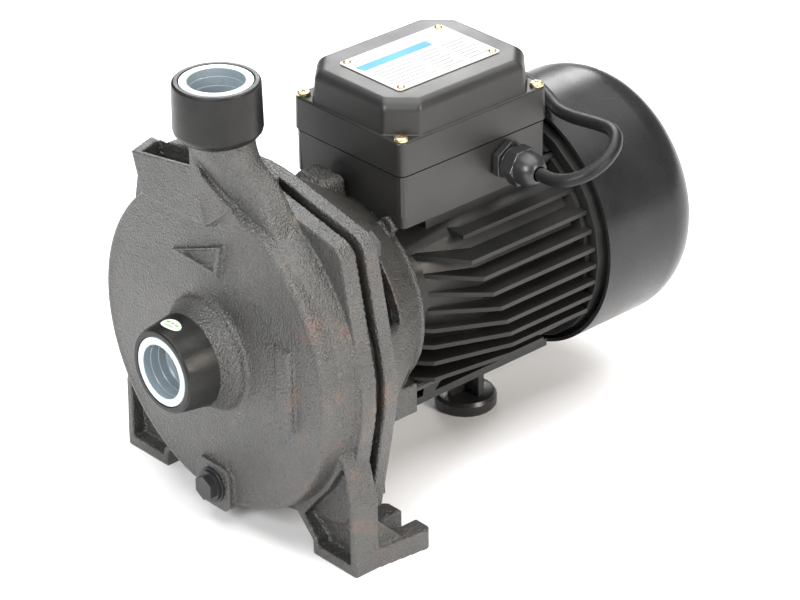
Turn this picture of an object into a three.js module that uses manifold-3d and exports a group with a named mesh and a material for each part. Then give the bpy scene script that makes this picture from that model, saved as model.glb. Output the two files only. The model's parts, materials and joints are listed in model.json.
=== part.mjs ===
// Single-stage centrifugal water pump with one-inch ports, close coupled to an
// air-cooled motor.  Millimetres, +Z up, suction port facing -Y, shaft along Y.
// Every length below is measured with the discharge axis at y = 0; the finished
// pieces are moved by CENTRE_SHIFT so that the origin is under the middle.

import * as THREE from 'three';
import { mergeVertices } from 'three/addons/utils/BufferGeometryUtils.js';
import ManifoldModule from 'manifold-3d';

// ---------- driving dimensions ----------
const CENTRE_SHIFT = -115;
const SHAFT_HEIGHT = 99.3;
const CLEARANCE = 0.3;

const PORT_BORE = 15.6;
const SUCTION_FACE = -43;
const SUCTION_BOSS_RADIUS = 22.5;
const DISCHARGE_TOP = 245.5;
const DISCHARGE_BOSS_RADIUS = 22.1;
const DISCHARGE_BOSS_BOTTOM = 215.5;
const CAP_SEAT_DEPTH = 1.2;
const CAP_RIM_RADIUS = 18.5;
const CAP_RIM_RECESS = 0.1;
const CAP_WALL = 1;
const CAP_DEPTH = 15.6;
const CAP_HOLLOW = 14.4;

const CASING_RADIUS = 89.8;
const CASING_FACE = -9.5;
const CASING_CHAMBER = 80;
const CASING_FLANGE_FRONT = 9.5;
const CASING_FLANGE_REAR = 19;
const SPIGOT_RADIUS = 83.6;
const FLANGE_RADIUS = 92;
const LOBE_RADIUS = 10;
const LOBE_CENTRE = 98;
const LOBE_ANGLES = [45, 135, 225, 315];
const CHANNEL_RADIUS = 87;
const CHANNEL_START = -80;
const CHANNEL_LEAVES_AT = 62;
const CHANNEL_WALL = 4;
const NECK_HALF_WIDTH = 17;

const FOOT_OUTER = 92.2;
const FOOT_INNER = 59;
const FOOT_FRONT = 2.8;
const FOOT_REAR = 51.4;
const FOOT_HEIGHT = 11;
const FOOT_SLOT_X = 77.5;
const FOOT_SLOT_WIDTH = 11;
const FOOT_SLOT_END = 41.5;
const FOOT_FLARE = 3.5;
const LEG_WEB_FRONT = 11;
const THREAD_START = 12.2;
const DRAIN_HEIGHT = 22;
const DRAIN_FACE = CASING_FACE - 4;

const BRACKET_FRONT = 24.5;
const BRACKET_FLANGE_REAR = 33;
const BRACKET_REAR = 86;
const CONE_FRONT_RADIUS = 88;
const CONE_REAR_RADIUS = 52.5;

const FRAME_FRONT = 87;
const FRAME_REAR = 197;
const FRAME_CORE = 54;
const FRAME_NECK = 42;
const FRAME_WALL = 3;
const FIN_TIP_RADIUS = 65;
const FIN_TOP = 125.2;
const FIN_PITCH = 9.6;
const FIN_COUNT = 8;
const FIN_THICKNESS = 2.4;
const RAIL_BOTTOM = 38.6;
const RAIL_HALF_WIDTH = 34;
const LOWER_ROD = [39, 53.8];
const UPPER_ROD = [30, 148];

const COVER_RADIUS = 70.8;
const COVER_FRONT = 201.7;
const COVER_REAR = 273;
const COVER_WALL = 2;
const COVER_SCREW_Y = 204.6;

const BOX_HALF_WIDTH = 41;
const BOX_FRONT = 82.5;
const BOX_REAR = 183.5;
const BOX_BOTTOM = 148.3;
const BOX_WALL = 3.4;
const LID_BOTTOM = 178.6;
const LID_LEDGE = 197;
const LID_TOP = 215;
const GLAND_Y = 154.5;
const GLAND_Z = 165;
const SUPPORT_Y = 163;

const CORD_RADIUS = 3.6;
const COIL_X = -109;
const COIL_Y = 118;
const COIL_RADIUS = 43.2;
const COIL_LEVELS = 4;
const COIL_RISE = 7.35;
const CORD_FLOOR = CORD_RADIUS + 0.2;
const PLUG_RADIUS = 20;
const PLUG_START = COIL_Y + 40;

const LARGE_ROUND = 36;
const ROUND = 24;
const SMALL_ROUND = 16;
const FINE_ROUND = 10;

// ---------- looks ----------
const CAST_IRON = { color: 0x1f2021, roughness: 0.55, metalness: 0.3 };
const SATIN_ALUMINIUM = { color: 0x1a1a1c, roughness: 0.45, metalness: 0.5 };
const BLACK_PLASTIC = { color: 0x242427, roughness: 0.5, metalness: 0.05 };
const BRIGHT_STEEL = { color: 0xb9bcc0, roughness: 0.3, metalness: 0.95 };
const DARK_STEEL = { color: 0x1c1c1e, roughness: 0.4, metalness: 0.7 };
const ZINC_YELLOW = { color: 0xc9ad62, roughness: 0.35, metalness: 0.9 };
const YELLOW_METAL = { color: 0xc59a48, roughness: 0.35, metalness: 0.9 };
const COPPER_WIRE = { color: 0xb5673a, roughness: 0.45, metalness: 0.6 };
const MILKY_PLASTIC = { color: 0xdfe8ee, roughness: 0.35, metalness: 0 };
const BLACK_RUBBER = { color: 0x111111, roughness: 0.8, metalness: 0 };
const PALE_ALUMINIUM = { color: 0xcfd2d4, roughness: 0.4, metalness: 0.8 };
const CERAMIC = { color: 0xe9e6dc, roughness: 0.3, metalness: 0 };
const GRAPHITE = { color: 0x2a2a2c, roughness: 0.4, metalness: 0.1 };
const PALE_PLASTIC = { color: 0xdedad0, roughness: 0.5, metalness: 0 };
const CORD_BLACK = { color: 0x18181a, roughness: 0.55, metalness: 0 };

const wasm = await ManifoldModule();
wasm.setup();

const pump = new THREE.Group();
pump.name = 'centrifugal_water_pump';
const assembly = new THREE.Group();
assembly.position.y = CENTRE_SHIFT;
pump.add(assembly);

// ---------- solid helpers ----------
// Welds a geometry, drops collapsed triangles and turns it into a solid whose
// faces point outwards.
function toSolid(geometry) {
  const bare = geometry.index ? geometry.clone() : geometry;
  bare.deleteAttribute('normal');
  bare.deleteAttribute('uv');
  const welded = mergeVertices(bare, 1e-4);
  const corners = welded.index.array;
  const points = welded.attributes.position;
  const kept = [];
  let volume = 0;
  const a = new THREE.Vector3();
  const b = new THREE.Vector3();
  const c = new THREE.Vector3();
  for (let i = 0; i < corners.length; i += 3) {
    const [p, q, r] = [corners[i], corners[i + 1], corners[i + 2]];
    if (p === q || q === r || p === r) continue;
    kept.push(p, q, r);
    a.fromBufferAttribute(points, p);
    b.fromBufferAttribute(points, q);
    c.fromBufferAttribute(points, r);
    volume += a.dot(b.cross(c));
  }
  if (volume < 0) {
    for (let i = 0; i < kept.length; i += 3) {
      [kept[i], kept[i + 1]] = [kept[i + 1], kept[i]];
    }
  }
  const mesh = new wasm.Mesh({
    numProp: 3,
    vertProperties: new Float32Array(points.array),
    triVerts: new Uint32Array(kept),
  });
  mesh.merge();
  return new wasm.Manifold(mesh);
}

function join(first, ...others) {
  return others.reduce((total, next) => total.add(next), first);
}

function cut(body, ...tools) {
  return tools.reduce((total, next) => total.subtract(next), body);
}

// A closed solid from a stack of rings that all have the same number of points.
function stack(rings) {
  const count = rings[0].length;
  const positions = rings.flat().flatMap((p) => [p.x, p.y, p.z]);
  const index = [];
  for (let ring = 0; ring + 1 < rings.length; ring += 1) {
    for (let k = 0; k < count; k += 1) {
      const next = (k + 1) % count;
      const low = ring * count;
      const high = low + count;
      index.push(low + k, low + next, high + next, low + k, high + next, high + k);
    }
  }
  const last = (rings.length - 1) * count;
  for (let k = 1; k + 1 < count; k += 1) {
    index.push(0, k + 1, k, last, last + k, last + k + 1);
  }
  const geometry = new THREE.BufferGeometry();
  geometry.setAttribute('position', new THREE.Float32BufferAttribute(positions, 3));
  geometry.setIndex(index);
  return toSolid(geometry);
}

// Flat outline [[u, v], ...] pushed along x, y or z from start to end.  The
// outline lies in (y, z), (x, z) or (x, y).
function prism(outline, axis, start, end) {
  const shape = new THREE.Shape(outline.map(([u, v]) => new THREE.Vector2(u, v)));
  const geometry = new THREE.ExtrudeGeometry(shape, { depth: end - start, bevelEnabled: false });
  if (axis === 'x') {
    const turn = new THREE.Matrix4().makeBasis(
      new THREE.Vector3(0, 1, 0),
      new THREE.Vector3(0, 0, 1),
      new THREE.Vector3(1, 0, 0),
    );
    geometry.applyMatrix4(turn);
    geometry.translate(start, 0, 0);
  } else if (axis === 'y') {
    geometry.rotateX(Math.PI / 2);
    geometry.translate(0, end, 0);
  } else {
    geometry.translate(0, 0, start);
  }
  return toSolid(geometry);
}

function box(x0, x1, y0, y1, z0, z1) {
  const geometry = new THREE.BoxGeometry(x1 - x0, y1 - y0, z1 - z0);
  geometry.translate((x0 + x1) / 2, (y0 + y1) / 2, (z0 + z1) / 2);
  return toSolid(geometry);
}

// A closed profile [[radius, y], ...] turned about the shaft axis.
function turned(profile, sides = ROUND) {
  const loop = [...profile, profile[0]].map(([r, y]) => new THREE.Vector2(r, y));
  const geometry = new THREE.LatheGeometry(loop, sides);
  geometry.translate(0, 0, SHAFT_HEIGHT);
  return toSolid(geometry);
}

// A closed profile [[radius, height], ...] turned about an upright axis.
function turnedUpright(profile, x, y, z, sides = ROUND) {
  const loop = [...profile, profile[0]].map(([r, h]) => new THREE.Vector2(r, h));
  const geometry = new THREE.LatheGeometry(loop, sides);
  geometry.rotateX(Math.PI / 2);
  geometry.translate(x, y, z);
  return toSolid(geometry);
}

// A closed profile [[radius, distance], ...] turned about an axis along +X.
function turnedAcross(profile, x, y, z, sides = ROUND) {
  const loop = [...profile, profile[0]].map(([r, d]) => new THREE.Vector2(r, d));
  const geometry = new THREE.LatheGeometry(loop, sides);
  geometry.rotateZ(-Math.PI / 2);
  geometry.translate(x, y, z);
  return toSolid(geometry);
}

function rodAlongY(radius, x, z, y0, y1, sides = 24) {
  const geometry = new THREE.CylinderGeometry(radius, radius, y1 - y0, sides);
  geometry.translate(x, (y0 + y1) / 2, z);
  return toSolid(geometry);
}

function rodAlongZ(radius, x, y, z0, z1, sides = 24, turn = 0) {
  const geometry = new THREE.CylinderGeometry(radius, radius, z1 - z0, sides);
  geometry.rotateX(Math.PI / 2);
  geometry.rotateZ(turn);
  geometry.translate(x, y, (z0 + z1) / 2);
  return toSolid(geometry);
}

function rodAlongX(radius, y, z, x0, x1, sides = 24) {
  const geometry = new THREE.CylinderGeometry(radius, radius, x1 - x0, sides);
  geometry.rotateZ(-Math.PI / 2);
  geometry.translate((x0 + x1) / 2, y, z);
  return toSolid(geometry);
}

// A ring of points round a rectangle with rounded corners, at one height.
function roundedRing(x0, x1, y0, y1, radius, z, steps = 3) {
  const points = [];
  const corners = [
    [x1 - radius, y1 - radius, 0],
    [x0 + radius, y1 - radius, 1],
    [x0 + radius, y0 + radius, 2],
    [x1 - radius, y0 + radius, 3],
  ];
  for (const [x, y, quarter] of corners) {
    for (let k = 0; k <= steps; k += 1) {
      const angle = (quarter + k / steps) * Math.PI / 2;
      const px = x + radius * Math.cos(angle);
      const py = y + radius * Math.sin(angle);
      points.push(new THREE.Vector3(px, py, z));
    }
  }
  return points;
}

// A round wire or cord that follows a path.
function tube(path, radius, steps, sides) {
  const section = new THREE.Shape();
  for (let k = 0; k < sides; k += 1) {
    const angle = 2 * Math.PI * k / sides;
    const corner = [radius * Math.cos(angle), radius * Math.sin(angle)];
    if (k === 0) section.moveTo(...corner);
    else section.lineTo(...corner);
  }
  section.closePath();
  return toSolid(new THREE.ExtrudeGeometry(section, { steps, extrudePath: path, bevelEnabled: false }));
}

// Point at an angle about the shaft: 0 degrees is +X and 90 degrees is up.
function around(radius, degrees) {
  const angle = degrees * Math.PI / 180;
  return [radius * Math.cos(angle), SHAFT_HEIGHT + radius * Math.sin(angle)];
}

// Outer corner points of a set of points, in order.
function wrap(points) {
  const sorted = [...points].sort((a, b) => a[0] - b[0] || a[1] - b[1]);
  const side = (o, a, b) => (a[0] - o[0]) * (b[1] - o[1]) - (a[1] - o[1]) * (b[0] - o[0]);
  const half = (list) => {
    const chain = [];
    for (const p of list) {
      while (chain.length > 1 && side(chain.at(-2), chain.at(-1), p) <= 1e-9) chain.pop();
      chain.push(p);
    }
    chain.pop();
    return chain;
  };
  return [...half(sorted), ...half(sorted.reverse())];
}

// The outline both big flanges share: a disc stretched out to four bolt lobes.
function flangeOutline() {
  const points = [];
  for (let k = 0; k < LARGE_ROUND; k += 1) points.push(around(FLANGE_RADIUS, 360 * k / LARGE_ROUND));
  for (const lobe of LOBE_ANGLES) {
    const [x, z] = around(LOBE_CENTRE, lobe);
    for (let k = 0; k < FINE_ROUND; k += 1) {
      const angle = 2 * Math.PI * k / FINE_ROUND;
      points.push([x + LOBE_RADIUS * Math.cos(angle), z + LOBE_RADIUS * Math.sin(angle)]);
    }
  }
  return wrap(points);
}

function sector(radius, from, to, y0, y1) {
  const points = [[0, SHAFT_HEIGHT]];
  for (let k = 0; k <= 6; k += 1) points.push(around(radius, from + (to - from) * k / 6));
  return prism(points, 'y', y0, y1);
}

function hexAlongY(acrossFlats, x, z, y0, y1) {
  return rodAlongY(acrossFlats / Math.sqrt(3), x, z, y0, y1, 6);
}

function place(name, solid, look, position = [0, 0, 0]) {
  const raw = solid.getMesh();
  const points = [];
  for (let i = 0; i < raw.vertProperties.length; i += raw.numProp) {
    points.push(raw.vertProperties[i], raw.vertProperties[i + 1], raw.vertProperties[i + 2]);
  }
  const geometry = new THREE.BufferGeometry();
  geometry.setAttribute('position', new THREE.Float32BufferAttribute(points, 3));
  geometry.setIndex(Array.from(raw.triVerts));
  geometry.computeVertexNormals();
  const mesh = new THREE.Mesh(geometry, new THREE.MeshStandardMaterial(look));
  mesh.name = name;
  mesh.position.set(...position);
  assembly.add(mesh);
}

// ---------- pump casing ----------
// How far the volute channel has grown at an angle, from 0 to 1.
function channelGrowth(angle) {
  return THREE.MathUtils.clamp((angle - CHANNEL_START) / 90, 0, 1);
}

// The volute channel grows round the wheel anticlockwise as seen from the
// suction side, follows it almost to the top and then turns up into the neck of
// the discharge boss.  Each station has its centre, its half width in the plane
// of the wheel, its front and rear along the shaft, how much further its outer
// wall reaches at the rear, and how round it is: 1 is an ellipse, 0 a rectangle.
function channelStations(startAngle) {
  const stations = [];
  for (let angle = startAngle; angle <= CHANNEL_LEAVES_AT; angle += 10.9) {
    const growth = channelGrowth(angle);
    const halfWidth = 7 + 5.5 * growth;
    const swell = 2.5 * THREE.MathUtils.clamp((angle - 35) / 27, 0, 1) - 2 * (1 - growth);
    const [x, z] = around(CHANNEL_RADIUS + swell - halfWidth, angle);
    const front = -4.5 + 2 * (1 - growth);
    stations.push({ x, z, halfWidth, front, rear: 11, lean: 4.5 * growth, round: 0.35 });
  }
  const neck = [
    [26.5, 185.5, 13, -6, 11, 3, 0.5],
    [17, 195, 14, -9, 12, 1, 0.75],
    [10.5, 204, 15, -12, 13, 0, 1],
    [2, DISCHARGE_BOSS_BOTTOM + 1, 16.5, -17, 17, 0, 1],
    [0, DISCHARGE_BOSS_BOTTOM + 8, NECK_HALF_WIDTH, -17, 17, 0, 1],
  ];
  for (const [x, z, halfWidth, front, rear, lean, round] of neck) {
    stations.push({ x, z, halfWidth, front, rear, lean, round });
  }
  return stations;
}

function channel(startAngle, wall) {
  const stations = channelStations(startAngle);
  const last = stations.length - 1;
  const rings = stations.map((station, i) => {
    const before = stations[Math.max(i - 1, 0)];
    const after = stations[Math.min(i + 1, last)];
    const across = new THREE.Vector3(after.z - before.z, 0, before.x - after.x).normalize();
    const squared = (value) => Math.sign(value) * Math.abs(value) ** station.round;
    const halfDepth = (station.rear - station.front) / 2;
    const ring = [];
    for (let k = 0; k < FINE_ROUND; k += 1) {
      const angle = 2 * Math.PI * k / FINE_ROUND;
      const reach = squared(Math.cos(angle));
      const depth = squared(Math.sin(angle));
      const lean = reach > 0 ? station.lean * (1 + depth) / 2 : 0;
      const point = new THREE.Vector3(station.x, station.front + halfDepth, station.z);
      point.addScaledVector(across, (station.halfWidth - wall) * reach + lean);
      point.y += (halfDepth - wall) * depth;
      ring.push(point);
    }
    return ring;
  });
  return stack(rings);
}

const casingBody = turned([
  [0, CASING_FLANGE_REAR],
  [SPIGOT_RADIUS + 2, CASING_FLANGE_REAR],
  [CASING_RADIUS - 0.4, CASING_FLANGE_FRONT],
  [CASING_RADIUS - 2.4, -5.5],
  [CASING_RADIUS - 5.4, CASING_FACE],
  [60, CASING_FACE - 1.5],
  [32.6, CASING_FACE - 2.6],
  [30.4, -13.2],
  [29.6, -15.8],
  [28.2, -17.4],
  [26.2, -21],
  [24.8, -25.5],
  [SUCTION_BOSS_RADIUS, SUCTION_FACE + 1.2],
  [SUCTION_BOSS_RADIUS - 1.2, SUCTION_FACE],
  [0, SUCTION_FACE],
], LARGE_ROUND);

const casingFlange = prism(flangeOutline(), 'y', CASING_FLANGE_FRONT, CASING_FLANGE_REAR);

const dischargeBoss = turnedUpright([
  [0, 0],
  [18.5, 0],
  [20.2, 1.6],
  [DISCHARGE_BOSS_RADIUS + 0.4, 5.5],
  [DISCHARGE_BOSS_RADIUS, DISCHARGE_TOP - DISCHARGE_BOSS_BOTTOM - 0.8],
  [DISCHARGE_BOSS_RADIUS - 0.8, DISCHARGE_TOP - DISCHARGE_BOSS_BOTTOM],
  [0, DISCHARGE_TOP - DISCHARGE_BOSS_BOTTOM],
], 0, 0, DISCHARGE_BOSS_BOTTOM);

// One foot pad, seen from above, with its open-ended slot for a floor bolt.
function footPad(side) {
  const slotHalf = FOOT_SLOT_WIDTH / 2;
  const corner = 3;
  const outer = FOOT_OUTER + FOOT_FLARE;
  const outline = [
    [FOOT_INNER, FOOT_FRONT],
    [FOOT_OUTER, FOOT_FRONT],
    [FOOT_OUTER, CASING_FLANGE_REAR],
    [outer, FOOT_REAR - corner],
    [outer - corner, FOOT_REAR],
    [FOOT_SLOT_X + slotHalf, FOOT_REAR],
  ];
  for (let k = 0; k <= 6; k += 1) {
    const angle = -Math.PI * k / 6;
    const across = FOOT_SLOT_X + slotHalf * Math.cos(angle);
    outline.push([across, FOOT_SLOT_END + slotHalf * Math.sin(angle)]);
  }
  outline.push([FOOT_SLOT_X - slotHalf, FOOT_REAR]);
  outline.push([FOOT_INNER + corner, FOOT_REAR]);
  outline.push([FOOT_INNER, FOOT_REAR - corner]);
  return prism(outline.map(([x, y]) => [side * x, y]), 'z', 0, FOOT_HEIGHT);
}

// One leg with its foot; side is +1 for the right one and -1 for the left one.
function leg(side) {
  const outline = [
    [FOOT_OUTER, 0],
    [91, 40],
    [84, 67],
    [66, 60],
    [40, 32],
    [47, 20],
    [58.5, 8],
    [FOOT_INNER, 0],
  ].map(([x, z]) => [side * x, z]);
  const gusset = prism(
    [[CASING_FLANGE_REAR - 1, 10], [36, 10], [CASING_FLANGE_REAR - 1, 28]],
    'x',
    side * 88 - 2,
    side * 88 + 2,
  );
  return join(prism(outline, 'y', FOOT_FRONT, CASING_FLANGE_REAR), footPad(side), gusset);
}

// Hollow in the front of one leg, with a small through hole in the web behind it.
function legRecess(side) {
  const outline = [
    [87.5, 6],
    [62, 6],
    [62, 9.5],
    [52, 20],
    [60, 30],
    around(91, -38),
    around(91, -26),
    [84, 60],
    [87, 40],
  ].map(([x, z]) => [side * x, z]);
  return join(
    prism(outline, 'y', FOOT_FRONT - 1, LEG_WEB_FRONT),
    rodAlongY(1.6, side * 80.8, 33.4, LEG_WEB_FRONT - 1, CASING_FLANGE_REAR + 1, 10),
  );
}

// Open-topped pocket that ties the front wall to the flange beside the neck.
const pocketWalls = stack([
  [[-47, -13.6, 171], [3, -13.6, 171], [3, 10, 171], [-62, 10, 171]],
  [[-55, -12.5, 192.2], [-4, -12.5, 200.5], [-4, 10, 196], [-68, 10, 188]],
].map((ring) => ring.map(([x, y, z]) => new THREE.Vector3(x, y, z))));
const pocketHollow = stack([
  [[-50, -8.8, 176], [-12, -8.8, 176], [-12, 9.6, 176], [-60, 9.6, 176]],
  [[-51.4, -8.8, 205], [-12, -8.8, 205], [-12, 9.6, 205], [-63, 9.6, 205]],
].map((ring) => ring.map(([x, y, z]) => new THREE.Vector3(x, y, z))));

// Front web whose edge runs from the discharge boss down to the rim of the
// casing face and fades into it, with a groove between it and the channel
// behind.  Each row is the edge (x, z, front y) and the same for its inner side.
const WEB_REAR = -5;
const neckWeb = stack([
  [-4.8, 216.5, -13.1, -8, 216.5, -13.1],
  [-4.8, 212, -13.1, -8, 209, -13.1],
  [-3.6, 206, -13.1, -8, 201, -13.1],
  [0.4, 199.5, -13.1, -8, 193, -13.1],
  [8.6, 193.7, -12.6, -7, 184, -13.1],
  [16.3, 188.8, -11.8, -3, 176, -13.1],
  [20.5, 185.8, -10.8, 2.4, 171, -13],
  [24.5, 179.9, -9.6, 10, 174, -9.9],
].map(([x, z, y, innerX, innerZ, innerY]) => [
  new THREE.Vector3(x, y, z),
  new THREE.Vector3(innerX, innerY, innerZ),
  new THREE.Vector3(innerX, WEB_REAR, innerZ),
  new THREE.Vector3(x, WEB_REAR, z),
]));
const neckBlock = prism([[10, 188], [27, 190], [28, 198], [12, 202]], 'y', 6, 15);

// Raised outline of a flat shape on the casing face.
function raisedOutline(points, inset) {
  const centre = points.reduce(([u, v], [x, z]) => [u + x / points.length, v + z / points.length], [0, 0]);
  const inner = points.map(([x, z]) => {
    const reach = Math.hypot(x - centre[0], z - centre[1]);
    const scale = (reach - inset) / reach;
    return [centre[0] + (x - centre[0]) * scale, centre[1] + (z - centre[1]) * scale];
  });
  const front = CASING_FACE - 3.4;
  return cut(prism(points, 'y', front, CASING_FACE + 2), prism(inner, 'y', front - 1, CASING_FACE + 3));
}

const arrowHead = raisedOutline([[-25.5, 148.2], [14, 163.8], [10.5, 145.4]], 4.5);
const arrowTail = stack([[-2, 0], [CASING_FACE - 2, 0], [CASING_FACE - 3.6, 1.8]].map(([y, inset]) => [
  new THREE.Vector3(51.5 + inset, y, 78.5 + inset),
  new THREE.Vector3(64.5 - inset, y, 78.5 + inset),
  new THREE.Vector3(64.5 - inset, y, 124 - inset),
  new THREE.Vector3(51.5 + inset, y, 124 - inset),
]));
const drainBoss = prism([
  [-13, -9],
  [-9, -13],
  [9, -13],
  [13, -9],
  [13, 9],
  [9, 13],
  [-9, 13],
  [-13, 9],
].map(([x, z]) => [x, DRAIN_HEIGHT + z]), 'y', DRAIN_FACE, CASING_FACE + 4);

const casingOutside = join(
  casingBody,
  cut(join(casingFlange, leg(1), leg(-1)), legRecess(1), legRecess(-1)),
  channel(CHANNEL_START, 0),
  dischargeBoss,
  cut(pocketWalls, pocketHollow),
  neckWeb,
  neckBlock,
  arrowHead,
  arrowTail,
  drainBoss,
);

const wetSpace = turned([
  [0, SUCTION_FACE - 1],
  [CAP_RIM_RADIUS + CLEARANCE, SUCTION_FACE - 1],
  [CAP_RIM_RADIUS + CLEARANCE, SUCTION_FACE + CAP_SEAT_DEPTH],
  [PORT_BORE, SUCTION_FACE + CAP_SEAT_DEPTH],
  [PORT_BORE, -14],
  [24, -5],
  [CASING_CHAMBER, -4],
  [CASING_CHAMBER, 12],
  [SPIGOT_RADIUS, 12],
  [SPIGOT_RADIUS, CASING_FLANGE_REAR + 1],
  [0, CASING_FLANGE_REAR + 1],
], LARGE_ROUND);
const dischargeBore = turnedUpright([
  [0, 5],
  [PORT_BORE, 5],
  [PORT_BORE, DISCHARGE_TOP - DISCHARGE_BOSS_BOTTOM - CAP_SEAT_DEPTH],
  [CAP_RIM_RADIUS + CLEARANCE, DISCHARGE_TOP - DISCHARGE_BOSS_BOTTOM - CAP_SEAT_DEPTH],
  [CAP_RIM_RADIUS + CLEARANCE, DISCHARGE_TOP - DISCHARGE_BOSS_BOTTOM + 1],
  [0, DISCHARGE_TOP - DISCHARGE_BOSS_BOTTOM + 1],
], 0, 0, DISCHARGE_BOSS_BOTTOM);
const drainHole = rodAlongY(4.2, 0, DRAIN_HEIGHT, DRAIN_FACE - 1, 12, FINE_ROUND);
const boltSpots = LOBE_ANGLES.map((angle) => around(LOBE_CENTRE - 2, angle));
const threadedHoles = boltSpots.map(
  ([x, z]) => rodAlongY(3.5, x, z, THREAD_START, CASING_FLANGE_REAR + 1, FINE_ROUND),
);
const casing = cut(
  casingOutside,
  wetSpace,
  channel(-30, CHANNEL_WALL),
  dischargeBore,
  drainHole,
  pocketHollow,
  rodAlongY(1.6, 68.3, 170.7, CASING_FLANGE_FRONT - 1, CASING_FLANGE_FRONT + 1.6, 8),
  ...threadedHoles,
);
place('pump_casing', casing, CAST_IRON);

// ---------- port caps and drain plug ----------
const capProfile = [
  [0, CAP_DEPTH],
  [PORT_BORE - CLEARANCE, CAP_DEPTH],
  [PORT_BORE - CLEARANCE, CAP_SEAT_DEPTH - CLEARANCE],
  [CAP_RIM_RADIUS, CAP_SEAT_DEPTH - CLEARANCE],
  [CAP_RIM_RADIUS, CAP_RIM_RECESS],
  [CAP_HOLLOW, CAP_RIM_RECESS],
  [CAP_HOLLOW, CAP_DEPTH - CAP_WALL],
  [9.6, CAP_DEPTH - CAP_WALL],
  [9.6, CAP_DEPTH - CAP_WALL - 1.2],
  [8.2, CAP_DEPTH - CAP_WALL - 1.2],
  [8.2, CAP_DEPTH - CAP_WALL],
  [0, CAP_DEPTH - CAP_WALL],
];
const suctionCap = turned(capProfile.map(([r, d]) => [r, SUCTION_FACE + d]), SMALL_ROUND);
place('suction_port_cap', suctionCap, MILKY_PLASTIC);
const dischargeCap = turnedUpright(capProfile.map(([r, d]) => [r, -d]), 0, 0, 0, SMALL_ROUND);
place('discharge_port_cap', dischargeCap, MILKY_PLASTIC, [0, 0, DISCHARGE_TOP]);

const drainWasher = cut(
  rodAlongY(9.6, 0, 0, -1.4, -0.2, SMALL_ROUND),
  rodAlongY(4.4, 0, 0, -2, 1, FINE_ROUND),
);
place('drain_plug_washer', drainWasher, DARK_STEEL, [0, DRAIN_FACE, DRAIN_HEIGHT]);
const drainPlug = join(
  rodAlongY(8.4, 0, 0, -3, -1.6, SMALL_ROUND),
  hexAlongY(12, 0, 0, -6.6, -2.8),
  rodAlongY(3.8, 0, 0, -2, 12, FINE_ROUND),
);
place('drain_plug', drainPlug, DARK_STEEL, [0, DRAIN_FACE, DRAIN_HEIGHT]);

// ---------- motor bracket ----------
function coneRadius(y) {
  const share = (y - BRACKET_FLANGE_REAR) / (BRACKET_REAR - 1 - BRACKET_FLANGE_REAR);
  return CONE_FRONT_RADIUS + (CONE_REAR_RADIUS - CONE_FRONT_RADIUS) * share;
}

const BEARING_RADIUS = 20;
const bracketShell = turned([
  [CONE_FRONT_RADIUS, BRACKET_FLANGE_REAR - 2],
  [coneRadius(BOX_FRONT), BOX_FRONT],
  [CONE_REAR_RADIUS + 1.4, BOX_FRONT],
  [CONE_REAR_RADIUS + 1.4, BRACKET_REAR],
  [26, BRACKET_REAR],
  [26, 99],
  [BEARING_RADIUS + CLEARANCE, 99],
  [BEARING_RADIUS + CLEARANCE, 84],
  [13, 84],
  [13, 76],
  [24, 76],
  [48, 80],
  [82, BRACKET_FLANGE_REAR - 2],
], LARGE_ROUND);
const sealWall = turned([
  [SPIGOT_RADIUS - 0.6, 14.5],
  [SPIGOT_RADIUS - 0.6, BRACKET_FLANGE_REAR - 1],
  [70, BRACKET_FLANGE_REAR - 1],
  [66, 24],
  [26, 24],
  [26, 30],
  [16.4, 30],
  [16.4, 14.5],
], ROUND);
const bracketFlange = cut(
  prism(flangeOutline(), 'y', BRACKET_FRONT, BRACKET_FLANGE_REAR),
  rodAlongY(SPIGOT_RADIUS - 4, 0, SHAFT_HEIGHT, BRACKET_FRONT - 1, BRACKET_FLANGE_REAR + 1, LARGE_ROUND),
);
// Four openings in the cone: two at the sides above and two below.
const windows = [[14, 60, 56], [120, 166, 56], [196, 240, 72], [300, 344, 72]].map(
  ([from, to, rear]) => sector(110, from, to, BRACKET_FLANGE_REAR + 0.8, rear),
);
const shaftRoom = turned([
  [0, BRACKET_FLANGE_REAR - 4],
  [58, BRACKET_FLANGE_REAR - 4],
  [40, 74],
  [0, 74],
], SMALL_ROUND);
const mirrored = ([x, z]) => [[x, z], [-x, z]];
const lowerRods = mirrored(LOWER_ROD);
const upperRods = mirrored(UPPER_ROD);
const tieRodSpots = [...lowerRods, ...upperRods];
const UPPER_LUG_RADIUS = 5;
const UPPER_LUG_FRONT = 81;
const bracketLugs = [
  ...lowerRods.map(([x, z]) => box(x - 8, x + 8, 69, BRACKET_REAR, z - 9, z + 8)),
  ...upperRods.map(
    ([x, z]) => rodAlongY(UPPER_LUG_RADIUS, x, z, UPPER_LUG_FRONT, BRACKET_REAR, FINE_ROUND),
  ),
];
const lugHoles = [
  ...lowerRods.map(([x, z]) => rodAlongY(2.8, x, z, 74, BRACKET_REAR + 1, 10)),
  ...upperRods.map(([x, z]) => rodAlongY(2.8, x, z, UPPER_LUG_FRONT + 1.2, BRACKET_REAR + 1, 10)),
];
const topLug = stack([
  [[-21, 62, 140], [3, 62, 140], [3, 79, 140], [-21, 79, 140]],
  [[-20, 64, 165], [2, 64, 165], [2, 79, 165], [-20, 79, 165]],
  [[-18, 66, 167.5], [0, 66, 167.5], [0, 77.5, 167.5], [-18, 77.5, 167.5]],
].map((ring) => ring.map(([x, y, z]) => new THREE.Vector3(x, y, z))));
const topLugHole = rodAlongY(3, -9, 160, 60, 72, FINE_ROUND);
const passageHoles = boltSpots.map(
  ([x, z]) => rodAlongY(4.4, x, z, BRACKET_FRONT - 1, BRACKET_FLANGE_REAR + 14, FINE_ROUND),
);
const bracket = cut(
  join(cut(bracketShell, ...windows, shaftRoom), sealWall, bracketFlange, ...bracketLugs, topLug),
  topLugHole,
  ...lugHoles,
  ...passageHoles,
);
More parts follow.
